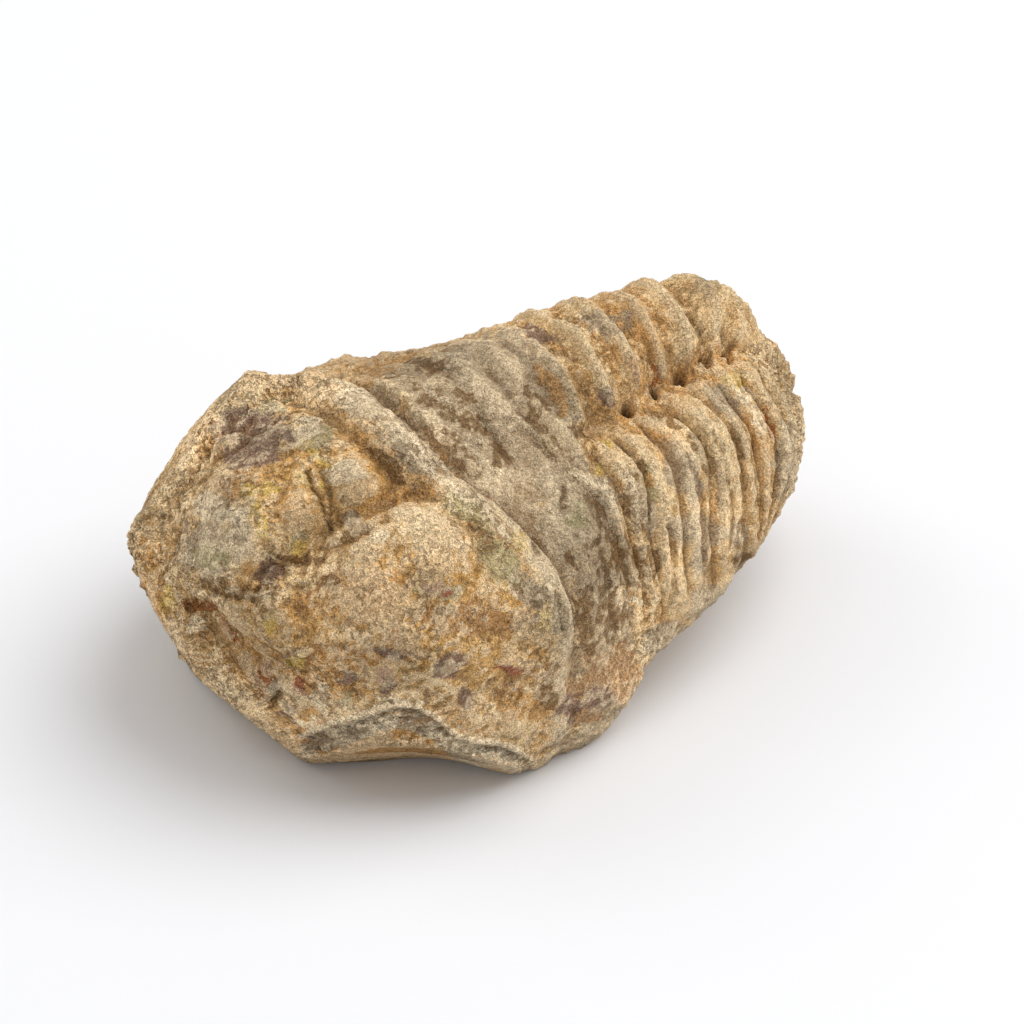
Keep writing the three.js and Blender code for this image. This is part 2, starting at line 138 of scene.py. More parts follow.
# Marks on the near side are drawn as the camera sees them: millimetres right and up of the middle
# of the picture. Each mark then lies on the stone under it.
# name: line, depth, half width, how dark
CRACKS = {
    "glabella_slit": ([(-19.4, 3.9), (-18.8, 2.3), (-18.0, 1.1), (-17.6, -0.3), (-17.1, -1.7)],
        0.5, 0.2, 1.0),
    "glabella_slit_rear": ([(-18.2, 4.1), (-17.3, 2.8), (-17.0, 1.1), (-17.2, -0.8), (-17.0, -2.1)],
        0.3, 0.18, 0.6),
    "front_lobe_skin": ([(-22.1, 0), (-21.7, -1.3), (-20.8, -2.0), (-20.4, -3.1), (-19.3, -3.8)],
        0.2, 0.2, 0.35),
    "far_skin": ([(-25.0, 6.9), (-25.9, 6.1), (-27.2, 5.6), (-28.0, 5.2)], 0.5, 0.25, 0.8),
    "front_lobe": ([(-31.2, -0.4), (-31.6, -1.7), (-31.6, -3.4), (-31.5, -4.7), (-30.6, -5.9),
        (-29, -6.6), (-27.2, -7.5), (-25.5, -8.3)], 0.3, 0.4, 0.1),
    # its darkening is painted shadow under the glabella
    "under_glabella": ([(-24.1, -6), (-22.7, -4.7), (-21, -4.2), (-19.6, -4.7), (-18.2, -4.3),
        (-16.2, -3.1), (-13.8, -1.7), (-11.9, -0.4)], 0.35, 0.35, 0.15),
    "rust_groove": ([(-30.4, -8.6), (-29, -8.6), (-27.8, -9.8), (-26.7, -11.1), (-25.5, -12.6),
        (-24, -13.9)], 0.45, 0.5, 0.2),
    "slot": ([(-22.3, -17.4), (-22.9, -18.2)], 1.2, 0.35, 1.0),
    "rib_1": ([(15.2, -8.6), (15.6, -7.1), (15.4, -5.4), (15.5, -3.1), (15.0, -1.2)], 0.55, 0.22, 0.9),
    "rib_2": ([(18.2, -4.7), (18.3, -1.2), (18, 1.6), (17.4, 3.9), (16.5, 5.8)], 0.4, 0.22, 0.7),
    "rib_3": ([(20.8, -3.4), (20.8, 0.2), (20.6, 3.0), (19.9, 5.8), (19, 7.7)], 0.5, 0.22, 0.9),
    "rib_4": ([(23.3, 0.7), (23.1, 3.5), (22.5, 6.3), (21.6, 8.6)], 0.35, 0.22, 0.6),
    "rib_5": ([(21.4, -3.4), (21.5, -0.8)], 0.35, 0.2, 0.5),
    "cover": ([(4.9, 2.5), (5.1, 1.9), (4.7, 1.1), (4.9, 0.4)], 0.4, 0.2, 0.8),
    "cover_pit": ([(2.1, -2.7), (2.7, -3.7)], 0.6, 0.35, 0.8),
    "border_end": ([(4.4, -7.5), (4.7, -9), (5.1, -11.1)], 0.6, 0.35, 0.5),
    "nick": ([(-3.8, 2.3), (-2.3, 1.7)], 0.4, 0.25, 0.3),
    "ring_crack": ([(16.5, 18.8), (17.6, 17.5), (18, 16)], 0.7, 0.25, 0.8),
    "ring_crack_rear": ([(19.6, 17.5), (20.1, 16.2)], 0.6, 0.25, 0.7),
    "hole_rear": ([(18.0, 14.2), (18.6, 14.7)], 0.9, 0.35, 1.0),
    "hole_last": ([(20.5, 15.6), (21.0, 16.1)], 0.9, 0.32, 1.0),
}
# upper edge of the layered break under the cheek
BREAK_EDGE = [(-19.9, -21.2), (-17.1, -19.9), (-15.0, -19.4), (-13.1, -18.7), (-10.9, -18.0),
    (-9.4, -18.2), (-7.5, -19.1), (-5.3, -21.0), (-3.2, -21.6), (-1.1, -21.8), (0.8, -22.5), (2.2, -23.8)]
# name: line, height, half width
RIDGES = {
    "rear_border_edge": ([(-10, 6.3), (-9.1, 4.4), (-6.8, 3.2), (-3.9, 2.1), (-1.6, -0.3), (0.3, -2.2),
        (1.7, -4.5), (2.6, -6.4), (3.6, -7.8), (4.1, -9)], 0.35, 0.4),
    "cover_edge": ([(0.8, 8.8), (3.1, 6.8), (4.5, 4.9), (7.3, 3), (9.2, 1.1), (10.1, -0.8), (10.3, -3.1)],
        0.3, 0.4),
    "break_rim": (BREAK_EDGE[:-1], 0.3, 0.3),
    "slit_fill": ([(-18.3, 3.4), (-17.5, 1.0), (-17.2, -1.8)], 0.45, 0.9),
    "ring_fill": ([(-17.6, 12.2), (-15.4, 10.2), (-13.8, 8.4)], 0.5, 1.3),
    "far_skin_edge": ([(-25.1, 7.5), (-26.1, 6.8), (-27.4, 6.3), (-28.2, 5.6)], 0.3, 0.35),
}
# tint: colour as it looks, largest share, and sometimes the range of its mask over which it grows
TINTS = {
    "tan": ((188, 140, 74), 0.7, 0.2, 0.7),
    "grey": ((160, 144, 120), 0.8, 0.3, 0.6),
    "green": ((164, 152, 112), 0.8),
    "brown": ((158, 118, 78), 0.75),
    "orange": ((186, 140, 84), 0.75),
    "yellow": ((196, 164, 88), 0.85),
    "pale": ((226, 206, 172), 0.75),
    "red": ((150, 88, 66), 0.85),
    "purple": ((120, 96, 84), 0.85, 0.3, 0.55),
    "rust": ((146, 84, 36), 0.9),
    "dark": ((112, 84, 52), 0.8),
}
# Where each tint lies: ovals as right, up, half length, half height and, if turned, degrees.
# The shade zones are painted shade, in places also darker stone, and the sand zones are painted light, in
# places also sandy stone; both keep the colour under them.
STAINS = {
    "grey": [(-13.6, 10.5, 3, 1.6), (14.8, -12, 2, 1.8), (18.6, -8.3, 1.8, 1.8), (26.1, 5, 1.4, 3.5),
        (9.2, 18, 3.2, 1.2), (17.8, -1.6, 2.6, 1.4), (-28.8, -3.4, 2.4, 2.8), (-25.5, -2.6, 1.1, 1.7),
        (-15.2, -0.9, 1, 0.8), (1.2, -7.3, 1.1, 2.4, 35), (4.1, -10.3, 0.8, 1.2),
        (-10.5, -20.3, 3.8, 0.8, -8), (-1.6, -22.3, 2.3, 0.5, -12), (-22.5, -16.5, 0.8, 0.9),
        (12, 1.1, 1, 2.8, 25), (16, 4.1, 1.2, 3.2, 28), (6.9, -1.7, 1, 2.1), (21.4, -1.7, 0.6, 1.3),
        (17.7, -4.5, 0.9, 1.4), (-8.6, 6.8, 2.4, 3.8, 50), (0.8, 10.5, 5.6, 4.3, -40),
        (-1.1, 3, 6.6, 2.4, -32), (8.3, 2.1, 1.5, 2.3, 30), (20, 10.5, 1.1, 2.3, 35)],
    "tan": [(-3.9, -11.1, 9, 5.2, -15), (-17.1, 2.6, 5.5, 4.5, 20), (-11, -7, 5, 3, 20),
        (-21, -12, 4, 3.5, -30), (-16, -15, 5.5, 2.6)],
    # painted shade, in places also darker stone
    "shade": [(8, -2.6, 3.6, 5, 20), (3.4, -10.4, 2.8, 3.4), (-23.6, -12, 3.2, 5.2, 25),
        (-18.8, 7.2, 2.6, 1.8), (-15.4, 1.8, 2.4, 2.8, 20), (-26, 1, 2, 2.4), (-11, -14, 5, 2.4),
        (-7.6, -7.4, 2.6, 2.4), (25.8, 12.6, 1.3, 3.4, 10), (18.6, 21.6, 2, 1), (-21.4, 6.8, 3, 1.5, 10),
        (-17.6, -0.8, 2.6, 1.8), (5.4, 11.6, 4, 2.4, -20), (14.8, 14.2, 2.6, 1.6), (-9, 14.6, 6.5, 1.6, 6),
        (-26.4, 10.2, 2, 1.4, 30), (-10.4, 4.6, 2.6, 3.6, 45), (-22.6, -4.6, 1.8, 1.8),
        (22.4, -4.4, 1.6, 2), (-34.2, -0.6, 1.3, 1.8)],
    # painted light, in places also sandy stone
    "sand_and_painted_light": [(-7.7, 6.9, 2.4, 1.9, -20), (11.2, -8.8, 1.8, 2.6, 10), (11, -15.6, 1.8, 2.6),
        (-19, -4.4, 2.4, 1.8, 10), (-22, -19.5, 3, 1.4, -30), (-30, 6.9, 2.8, 2.4, 50),
        (-27.6, 9.8, 2.6, 1.1, 25), (-18.4, 10.6, 2.6, 1.2, 10), (0.4, 2.2, 3.4, 1.5, -40),
        (19.6, -0.8, 2.6, 3), (14.8, 7, 2, 2.4, 20), (15.4, -4.8, 1.4, 1.8), (-9.4, -20.2, 4, 1.2, -10),
        (-13.4, -23.3, 5.5, 1.2), (-2, -23.6, 5, 1, -8)],
    "pale": [(-15.7, 3.5, 1.6, 1.2), (-28.5, 0.8, 1.1, 1.3), (-26.3, -0.3, 1.5, 0.8),
        (-12.4, -2.6, 1, 0.5, 20), (8.3, -8.5, 0.8, 0.5), (11.3, -8.5, 1.7, 0.3), (-18, -17.7, 1, 1.4),
        (-19.6, -20, 1.3, 0.5, -20), (3.8, -7.9, 0.3, 1.1, 20), (5.9, -9.4, 0.3, 1.3, 20),
        (-30, -10.6, 0.9, 0.8), (-19.9, 7.7, 1.7, 0.8, 20), (-5.4, 2.6, 2.8, 0.4, -28),
        (-1.1, -1.1, 1.7, 0.5, -42), (6.9, 3.2, 2.8, 0.3, -32), (9.4, 1.1, 0.4, 1.7, 25),
        (13.4, -0.8, 0.3, 2.3, 8), (-10.5, -18.1, 2.8, 0.3, 8), (21.9, 11, 0.5, 1.1, 35),
        (23.3, 8.6, 0.4, 1.3, 20)],
    "green": [(-3.9, 0.4, 2.6, 1.2, -35), (-1.1, -4.5, 1.5, 2.4, 35), (-19.9, -2.6, 0.8, 1.2),
        (-28.2, -4.1, 1.5, 1.1), (-18.4, 7.1, 1.5, 0.8, 10), (-22.5, 10, 1.7, 0.6), (6.4, -0.3, 0.9, 1.3),
        (-6.8, -7.3, 2.1, 0.6), (-5.8, -9.2, 1.5, 0.8), (-15.2, -17.7, 1.3, 0.7), (13, 3, 0.8, 1.9, 25)],
    "yellow": [(-24.6, 2, 0.8, 0.7), (-22.7, 2.3, 0.9, 0.7), (-23.9, 0.2, 0.6, 0.9),
        (-23.5, -1.7, 0.7, 0.9), (-32.3, -8.1, 0.7, 1.1), (-18, 5.1, 1.5, 0.5, -35), (-17.6, 2.5, 0.5, 0.5),
        (-19.7, -3.1, 0.8, 0.7), (-20.3, -14.1, 0.7, 0.8), (-22.9, -10.6, 0.6, 1.1), (9, 6.5, 0.8, 0.5),
        (2.8, -10, 0.5, 1.1), (-19.7, 3, 0.9, 0.6), (0.8, -2.6, 0.7, 1.3, 30), (8.3, 3.9, 0.8, 0.5),
        (20.9, 12.4, 0.9, 0.9), (-19.9, 6.8, 1.1, 0.5, -20)],
    "orange": [(-15.2, -8.5, 2.6, 2), (-17.5, -15.6, 3.6, 1.6, 10), (-34, -8.3, 1.4, 2.4),
        (-20.7, 0, 1.7, 1.4), (-34.4, -4.5, 0.8, 4.1), (-33.1, -9, 0.8, 1.3), (-24.1, -5.2, 1.1, 0.6),
        (-9.4, 1.7, 2.8, 0.8), (3.8, 11.8, 0.8, 2.6, 28), (7, 11.8, 0.8, 3.2, 24),
        (11.6, 13.1, 0.6, 2.1, 25), (13, 16.2, 1.1, 2.4, 30), (17.7, 12.7, 3.4, 0.8, -12),
        (21.6, 12, 1.3, 0.9), (23.1, 7.5, 0.7, 1.9, 15), (-11.9, 15, 4.7, 1.1, 8), (-12.4, -7.5, 2.4, 1.5),
        (-13.7, 6.8, 0.9, 1.1), (13, 3.2, 0.6, 0.5), (9.5, -4.1, 0.8, 1.1, 15), (9.2, 15.2, 1.3, 0.8),
        (-28.8, 8.2, 1.7, 0.5, 20), (-14.3, -17.7, 0.8, 0.7), (-19.9, -15.8, 0.9, 1.1),
        (-15.2, -13.9, 5.6, 0.7), (12, 8.2, 2.8, 0.5, -15), (3.1, 19.3, 1.7, 0.5, -5),
        (-14.4, -8.4, 2.9, 2.2, -10), (-19.2, -8.6, 1.8, 1.3), (-24.8, -14, 2.4, 2.6, 20),
        (-33.8, -7.6, 1.2, 2.4, 10), (-13.6, 14.7, 4.6, 1.5, 8), (18.4, 14, 2.2, 1.1, -10),
        (15, 10.2, 1.5, 1.4), (-18.6, -20.6, 2.4, 1.8, -15), (0.8, -18.2, 3.2, 1.3),
        (8.3, 19.9, 1.9, 0.6, -20), (-26, 2.1, 0.8, 0.8)],
    "rust": [(-29, -8.8, 1.7, 0.5, -10), (-26.2, -11.7, 1.5, 0.4, -50), (11.3, 13.7, 0.4, 1.5, 20),
        (-23.5, -15.8, 0.8, 1.7), (13.4, 13.1, 0.5, 1.1, 20), (24.4, 8.8, 0.4, 1.5, 15)],
    "brown": [(-26.9, 2.1, 1.6, 2.1, -40), (-19.6, -8.9, 1, 0.9), (-15.5, -10.1, 1, 0.6),
        (-11.3, -11.7, 1, 0.8), (-19.9, -14.1, 5.6, 1.1), (-15, -13.5, 5.6, 1), (0, -16.7, 1.4, 0.9),
        (1.7, -14.9, 1.9, 0.7), (7.5, -16.7, 2.8, 1.3, 20), (6.9, -19.2, 1.9, 0.8),
        (-15.7, -22.3, 3.8, 0.8), (-3, -23.5, 4.7, 0.5, -12), (12, -16.7, 1.9, 2.4, 30),
        (-3.9, -10.1, 5.6, 1.5), (-14.3, -7.3, 3.8, 1.7), (9.2, -13.9, 2.3, 1.5)],
    "purple": [(-24.7, 7.9, 3.2, 2, 5), (-24.6, 5.4, 2.8, 1.3), (-11.6, -13.4, 1.5, 0.5, -15),
        (5.3, -18.2, 1.2, 1.3), (-22.7, -5.7, 1.3, 1), (-4.2, -17.7, 0.8, 1.1), (-6, -14.6, 1.7, 0.8, 30),
        (-15.4, -15.5, 0.8, 0.5), (-11.6, -16.7, 0.8, 0.8), (-21.2, -18.8, 0.6, 0.5), (8.8, 10.7, 0.8, 1.1),
        (2.6, 16.7, 1.7, 0.6, -20), (8.3, -17.7, 1.3, 1.3), (2.2, -10, 0.5, 0.4)],
    "red": [(-12.1, -15.5, 0.8, 0.9), (-7, -7.2, 1.4, 0.5), (-19.9, -16.7, 0.6, 0.8), (0, -14.7, 1.2, 0.5)],
    # Several dark ovals are painted shade: in the hollows between the rings behind the head and under the
    # glabella.
    "dark": [(-11.9, 4.6, 0.8, 2.4, 38), (-5.6, 11.6, 2.6, 0.8, -35), (-8.2, 14.1, 1.9, 0.6),
        (-3.6, 8.3, 0.7, 1.7, 50), (-1.5, 5.6, 0.8, 1.4, 50), (-8.6, 10.9, 4.1, 0.8, -35),
        (-5.6, 6, 3.2, 1.1, -42), (10.1, -4.7, 3.2, 2.3), (8.3, -9.4, 2.4, 2.4), (13, -4.5, 1.1, 1.5, 20),
        (7.9, -0.8, 0.8, 2.6, 22), (3.4, 7.7, 0.9, 4.1, 30), (11.5, 0, 0.5, 2.4, 22),
        (18.4, 5.1, 0.8, 2.6, 28), (19.7, 2.4, 0.6, 1.9, 15), (8.3, -12.2, 1.9, 1.3),
        (3.6, -16.7, 0.7, 2.1, -10), (-19.9, -4.3, 2.4, 0.5, -5), (-15, -2.4, 3.2, 0.6, 25),
        (-28, -6.6, 2.4, 0.6, -20), (-24.6, -7.5, 2.3, 0.8), (5.9, 7.4, 0.9, 0.9), (12, 3.9, 0.6, 1.3, 25),
        (21.9, -4.7, 1.1, 0.7, 30), (14.6, 8.6, 1.7, 0.4, -25), (-7.4, -20.3, 1.7, 0.5, -10),
        (-17.1, -6.9, 0.9, 0.8), (21.4, 6.8, 0.5, 2.1, 22), (6.4, -4.5, 1.3, 1.1)],
}


# ---- plain mathematics
def curve(table, column, at):
    """Smooth curve through one column of a table, with no overshoot between its rows."""
    X, Y = table[:, 0], table[:, column]
    h = np.diff(X)
    d = np.diff(Y) / h
    m = np.zeros(len(X))
    m[0], m[-1] = d[0], d[-1]
    for i in range(1, len(X) - 1):
        if d[i - 1] * d[i] > 0:
            m[i] = 3 * (h[i - 1] + h[i]) / ((2 * h[i] + h[i - 1]) / d[i - 1] + (h[i] + 2 * h[i - 1]) / d[i])
    at = np.clip(at, X[0], X[-1])
    k = np.clip(np.searchsorted(X, at) - 1, 0, len(X) - 2)
    t = (at - X[k]) / h[k]
    return ((1 + 2 * t) * (1 - t) ** 2 * Y[k] + t * (1 - t) ** 2 * h[k] * m[k]
            + t * t * (3 - 2 * t) * Y[k + 1] + t * t * (t - 1) * h[k] * m[k + 1])


def unit(N):
    """Vectors of length 1 in the same directions."""
    return N / np.maximum(np.linalg.norm(N, axis=-1, keepdims=True), 1e-12)


def smooth(start, end, value):
    """0 at start, 1 at end and beyond. start may be the larger of the two."""
    t = np.clip((value - start) / (end - start), 0, 1)
    return t * t * (3 - 2 * t)


def bump(value, centre, width):
    """1 at centre, falling off smoothly on both sides."""
    return np.exp(-((value - centre) / width) ** 2)


def raised(value, power):
    """A power that takes negative values as 0."""
    return np.maximum(value, 0) ** power


def cap(y, start, end, power):
    """1 up to where a cap starts, then down an oval to 0 at its end."""
    t = np.clip((y - start) / (end - start), 0, 1)
    return raised(1 - t ** power, 1 / power)


def blend_max(a, b, softness):
    """The larger of two heights, with the corner between them rounded over."""
    h = np.clip(0.5 + 0.5 * (a - b) / softness, 0, 1)
    return b + (a - b) * h + softness * h * (1 - h)


def oval(x, y, at, size, turn=0):
    """Distance along and across an oval patch, 1 at its edge. turn is in degrees."""
    angle = np.radians(turn)
    dx, dy = x - at[0], y - at[1]
    return ((dx * np.cos(angle) + dy * np.sin(angle)) / size[0],
            (-dx * np.sin(angle) + dy * np.cos(angle)) / size[1])


def dome(x, y, at, size, height, turn=0, square=2, soft=0.6):
    """A rounded lump over an oval patch."""
    u, v = oval(x, y, at, size, turn)
    return height * raised(1 - np.abs(u) ** square - np.abs(v) ** square, soft)


def line_distance(P, points):
    """Distance from each point to a line through the given points."""
    best = np.full(P.shape[:-1], np.inf)
    points = np.array(points, float)
    for start, end in zip(points[:-1], points[1:]):
        step = end - start
        t = np.clip(((P - start) @ step) / (step @ step), 0, 1)
        best = np.minimum(best, np.linalg.norm(P - start - t[..., None] * step, axis=-1))
    return best


# ---- noise
def lattice_hash(i, j, k, seed):
    """A repeatable number from 0 to 1 for each lattice point."""
    n = (i * 374761393 + j * 668265263 + k * 2147483647 + seed * 1274126177) & 0xFFFFFFFF
    n = ((n ^ (n >> 13)) * 1274126177) & 0xFFFFFFFF
    n = ((n ^ (n >> 16)) * 2246822519) & 0xFFFFFFFF
    return ((n ^ (n >> 15)) & 0xFFFFFF) / 0xFFFFFF


def noise(P, size, seed=0):
    """Smooth noise, about -1 to 1, with features about size millimetres wide."""
    Q = P / size + 100.0
    cell = np.floor(Q).astype(np.int64)
    f = Q - cell
    f = f * f * f * (f * (f * 6 - 15) + 10)
    total = 0
    for corner in range(8):
        o = np.array([corner & 1, corner >> 1 & 1, corner >> 2 & 1])
        weight = np.prod(np.where(o, f, 1 - f), axis=-1)
        c = cell + o
        total = total + weight * lattice_hash(c[..., 0], c[..., 1], c[..., 2], seed + SEED)
    return 2 * total - 1


def fractal(P, size, octaves=4, seed=0, gain=0.5):
    """Noise with finer and finer octaves, each weaker by gain."""
    total, amount, scale = 0, 1.0, 0
    for k in range(octaves):
        total = total + amount * noise(P, size / 2 ** k, seed + 17 * k)
        scale += amount
        amount *= gain
    return total / scale * 1.6


def cells(P, size, seed=0):
    """Distance to the nearest and to the next nearest of scattered points, and the nearest one's number."""
    Q = P / size + 100.0
    cell = np.floor(Q).astype(np.int64)
    first = np.full(P.shape[:-1], 9.0)
    second = np.full(P.shape[:-1], 9.0)
    number = np.zeros(P.shape[:-1])
    for i in (-1, 0, 1):
        for j in (-1, 0, 1):
            for k in (-1, 0, 1):
                c = cell + np.array([i, j, k])
                jitter = [lattice_hash(c[..., 0], c[..., 1], c[..., 2], seed + SEED + 31 * n)
                          for n in range(3)]
                d = np.linalg.norm(c + np.stack(jitter, -1) - Q, axis=-1)
                second = np.minimum(second, np.maximum(d, first))
                number = np.where(d < first, jitter[0], number)
                first = np.minimum(first, d)
    return first, second, number


# ---- the body while it is straight
def section_at(y):
    """Half width, rise and widest height, drop below it, and squareness, with both ends rounded off."""
    half, crown, wide, depth, upper, lower = (curve(SECTIONS, k, y) for k in range(1, 7))
    half = half * cap(y, HEAD_CAP_Y, FRONT_Y, 2.05) * cap(y, TAIL_CAP_Y, REAR_Y, 2.0)
    rise = (crown - wide) * cap(y, HEAD_CAP_Y, FRONT_Y, 2.6) * cap(y, TAIL_CAP_Y, REAR_Y, 2.4)
    drop = depth * cap(y, HEAD_CAP_Y, FRONT_Y, 1.8) * cap(y, TAIL_CAP_Y, REAR_Y, 2.0)
    return half, rise, wide, drop, upper, lower


def plain_point(y, angle):
    """A point of the plain body. angle is 0 at the near edge and 90 degrees on the ridge."""
    half, rise, wide, drop, upper, lower = section_at(y)
    c, s = np.cos(angle), np.sin(angle)
    power = np.where(s >= 0, upper, lower)
    r = (np.abs(c) ** power + np.abs(s) ** power) ** (-1 / power)
    return np.stack([half * r * c, y + 0 * angle, wide + np.where(s >= 0, rise, drop) * r * s], -1)


def outward(y, angle):
    """Unit vector square to the plain body."""
    step = 1e-3
    along_y = plain_point(y + step, angle) - plain_point(y - step, angle)
    around = plain_point(y, angle + step) - plain_point(y, angle - step)
    return unit(np.cross(along_y, around))


def sweep(x, y):
    """Segments run back, then forward again, as they go out from the axis and down the flank."""
    out = np.abs(x)
    front = 3.8 * smooth(8.5, 21, out)
    rear = 1.3 * smooth(8, 14, out) - 3.0 * smooth(14, 21, out)
    share = smooth(-6, 10, y)
    return (front * (1 - share) + rear * share) * smooth(46, 34, y) * smooth(-26, -14, y)


def upper_angle(y, column):
    """Angle of an upper column, 1 on the near edge, 0 on the ridge and -1 on the far edge."""
    half, _, _, _, upper, _ = section_at(y)
    furrow = np.minimum(curve(AXIS, 1, y) + 0.4, 0.85 * half)
    out = np.abs(column)
    inside = np.maximum(out / FURROW_COLUMN * furrow, 1e-6)
    at_inside = np.arctan2(raised(np.maximum(half / inside, 1) ** upper - 1, 1 / upper), 1)
    at_furrow = np.arctan2(raised((half / furrow) ** upper - 1, 1 / upper), 1)
    at_flank = at_furrow * (1 - (out - FURROW_COLUMN) / (1 - FURROW_COLUMN))
    angle = np.where(out < FURROW_COLUMN, at_inside, at_flank)
    return np.where(column >= 0, angle, np.pi - angle)


def lower_angle(y, share):
    """Angle of a lower column on the near side: share is 0 at the widest line and 1 on the ground."""
    _, _, wide, drop, _, lower = section_at(y)
    q = np.minimum(share * wide / drop, 0.96)
    return -np.arctan2(q, raised(1 - q ** lower, 1 / lower))


def column_angle(y, column):
    """Angle for a whole turn: 1 to -1 over the top, then to -2 down the far side, -3 under the base
    and -4 up the near side."""
    top = upper_angle(y, np.clip(column, -1, 1))
    far = np.pi - lower_angle(y, np.clip(-1 - column, 1e-6, 1))
    near = 2 * np.pi + lower_angle(y, np.clip(column + 4, 1e-6, 1))
    low_far = np.pi - lower_angle(y, 1.0)
    low_near = 2 * np.pi + lower_angle(y, 1.0)
    base = low_far + (low_near - low_far) * np.clip(-2 - column, 0, 1)
    angle = np.where(column >= -1, top, far)
    angle = np.where(column < -2, base, angle)
    return np.where(column < -3, near, angle)


# ---- relief shared with the solid
def segment_at(row):
    """Segments passed, share of this one passed, and distance to its nearer end as a share."""
    count = (row - BACK_Y) / SEGMENT_PITCH
    phase = count - np.floor(count)
    return count, phase, np.minimum(phase, 1 - phase)


def sediment_at(x, y):
    """Share of fine sediment left on the front of the back, most on the near side."""
    edge = 5.6 - 0.22 * (x - 3) * smooth(3, 9, x) + smooth(14, 20, x)
    patch = smooth(edge + 1.2, edge - 1.6, y) * smooth(-10.5, -8.5, y)
    return patch * (0.62 + 0.38 * smooth(-7, 3, x)) * (1 - 0.25 * smooth(18.5, 21.5, x))


def border_furrow_z(x):
    """Height of the furrow behind the front border of the head, lower on the near side."""
    return np.clip(17.6 - 0.55 * x - 0.45 * np.maximum(x - 5, 0), 7, 20.5)


def hole_places():
    """Distance along the body, distance from the ridge and depth of each hole."""
    for segment, depth in HOLES:
        y = BACK_Y + SEGMENT_PITCH * (segment + 0.1)
        yield y, curve(AXIS, 1, y) + 0.2, depth


def back_relief(P, up, row):
    """The axis with its rings, the ribs of the flanks, sediment and holes."""
    x, y, z = np.moveaxis(P, -1, 0)
    out = np.abs(x)
    furrow = curve(AXIS, 1, y)
    t = out / furrow
    top = smooth(0.03, 0.4, up)
    side = smooth(-0.75, -0.3, up)
    sediment = sediment_at(x, y)
    count, phase, edge = segment_at(row)
    present = (smooth(-0.15, 0.25, count) * (1 - 0.55 * smooth(26, 32, y))
               * smooth(SEGMENTS, SEGMENTS - 1.5, count))
    on_axis = 1 - smooth(0.9, 1.1, t)
    ring = 1.4 * (bump(phase, 0.52, 0.17) - 0.3)
    rib = (0.8 * np.exp(-(np.abs(phase - 0.33) / 0.27) ** 2.4) + 0.3 * bump(phase, 0.77, 0.15)
           - 0.3 * bump(edge, 0, 0.07) - 0.3)
    ring_share = (1 - 0.85 * sediment) * (1 - 0.8 * smooth(25, 29, y)) * on_axis * top
    ring_share = ring_share * (0.4 + 0.6 * smooth(-2, 4, x))
    rib_share = (1 - 0.8 * sediment) * (0.15 + 0.85 * smooth(7, 18, z)) * (1 - on_axis) * side
    rib_share = rib_share * smooth(furrow - 0.5, furrow + 4.5, out)
    rise = curve(AXIS, 2, y)
    bare, covered = raised(1 - t ** 2.1, 0.78), np.exp(-(t / 0.92) ** 2.2)
    height = rise * ((1 - sediment) * bare + sediment * covered) * top
    height = height - 0.2 * bump(out, furrow + 0.8, 1.2) * top * (1 - sediment)
    height = height + 0.6 * bump(y, 24.5, 3) * bump(x, -0.5, 4.5) * top
    height = height + (0.8 * bump(y, -6.5, 4) - 0.7 * bump(y, 6.5, 4.5)) * smooth(-9, -14, x) * top
    height = height + present * (ring * ring_share + 1.1 * rib * rib_share)
    height = height + 0.3 * sediment * bump(out, furrow + 1.5, 2.6) * top
    hole = np.zeros_like(x)
    for hole_y, hole_x, depth in hole_places():
        for side, share in ((1, 1.0), (-1, 0.7)):
            away = ((x - side * hole_x) / 0.75) ** 2 + ((row - hole_y) / 0.6) ** 2
            hole = np.maximum(hole, share * depth * np.exp(-away ** 1.3))
    return height - hole


def glabella(x, y, z):
    """The raised middle of the head, with two pairs of lobes and the ring behind it."""
    out = np.abs(x)
    furrow_z = border_furrow_z(x)
    reach = z + 2 * smooth(-30, -22, y) + 20 * smooth(-24, -20, y)
    height = dome(x, y, (0.3, -21.4), (10.4, 11.4), 4.3, square=2.6, soft=0.8)
    for side in (-1, 1):
        share = 1 if side > 0 else 0.7
        height = blend_max(height, dome(x, y, (side * 6.6, -18.7), (3.6, 3.3), 4.1 * share, -18 * side), 2)
        height = blend_max(height, dome(x, y, (side * 6.1, -23.9), (3.1, 2.5), 3.6 * share, -14 * side), 2)
    height = blend_max(height, dome(x, y, (0.4, -27.8), (6.6, 5), 3.8, square=2.3), 2)
    height = height * smooth(furrow_z, furrow_z + 7, reach)
    height = height - 0.3 * bump(y, -16.0 + 0.006 * out * out, 0.75) * smooth(10, 8.5, out)
    for side in (-1, 1):
        slit = np.hypot(np.maximum(np.abs(x - side * 6.9) - 2.3, 0), y + 21.2 + 0.3 * (out - 6.9))
        height = height - 0.4 * bump(slit, 0, 0.5)
    ring = 4.6 * raised(1 - (out / 9.8) ** 2.4, 0.7) * raised(1 - np.abs((y + 12.8) / 3.1) ** 2.4, 0.7)
    return blend_max(height, ring, 2)


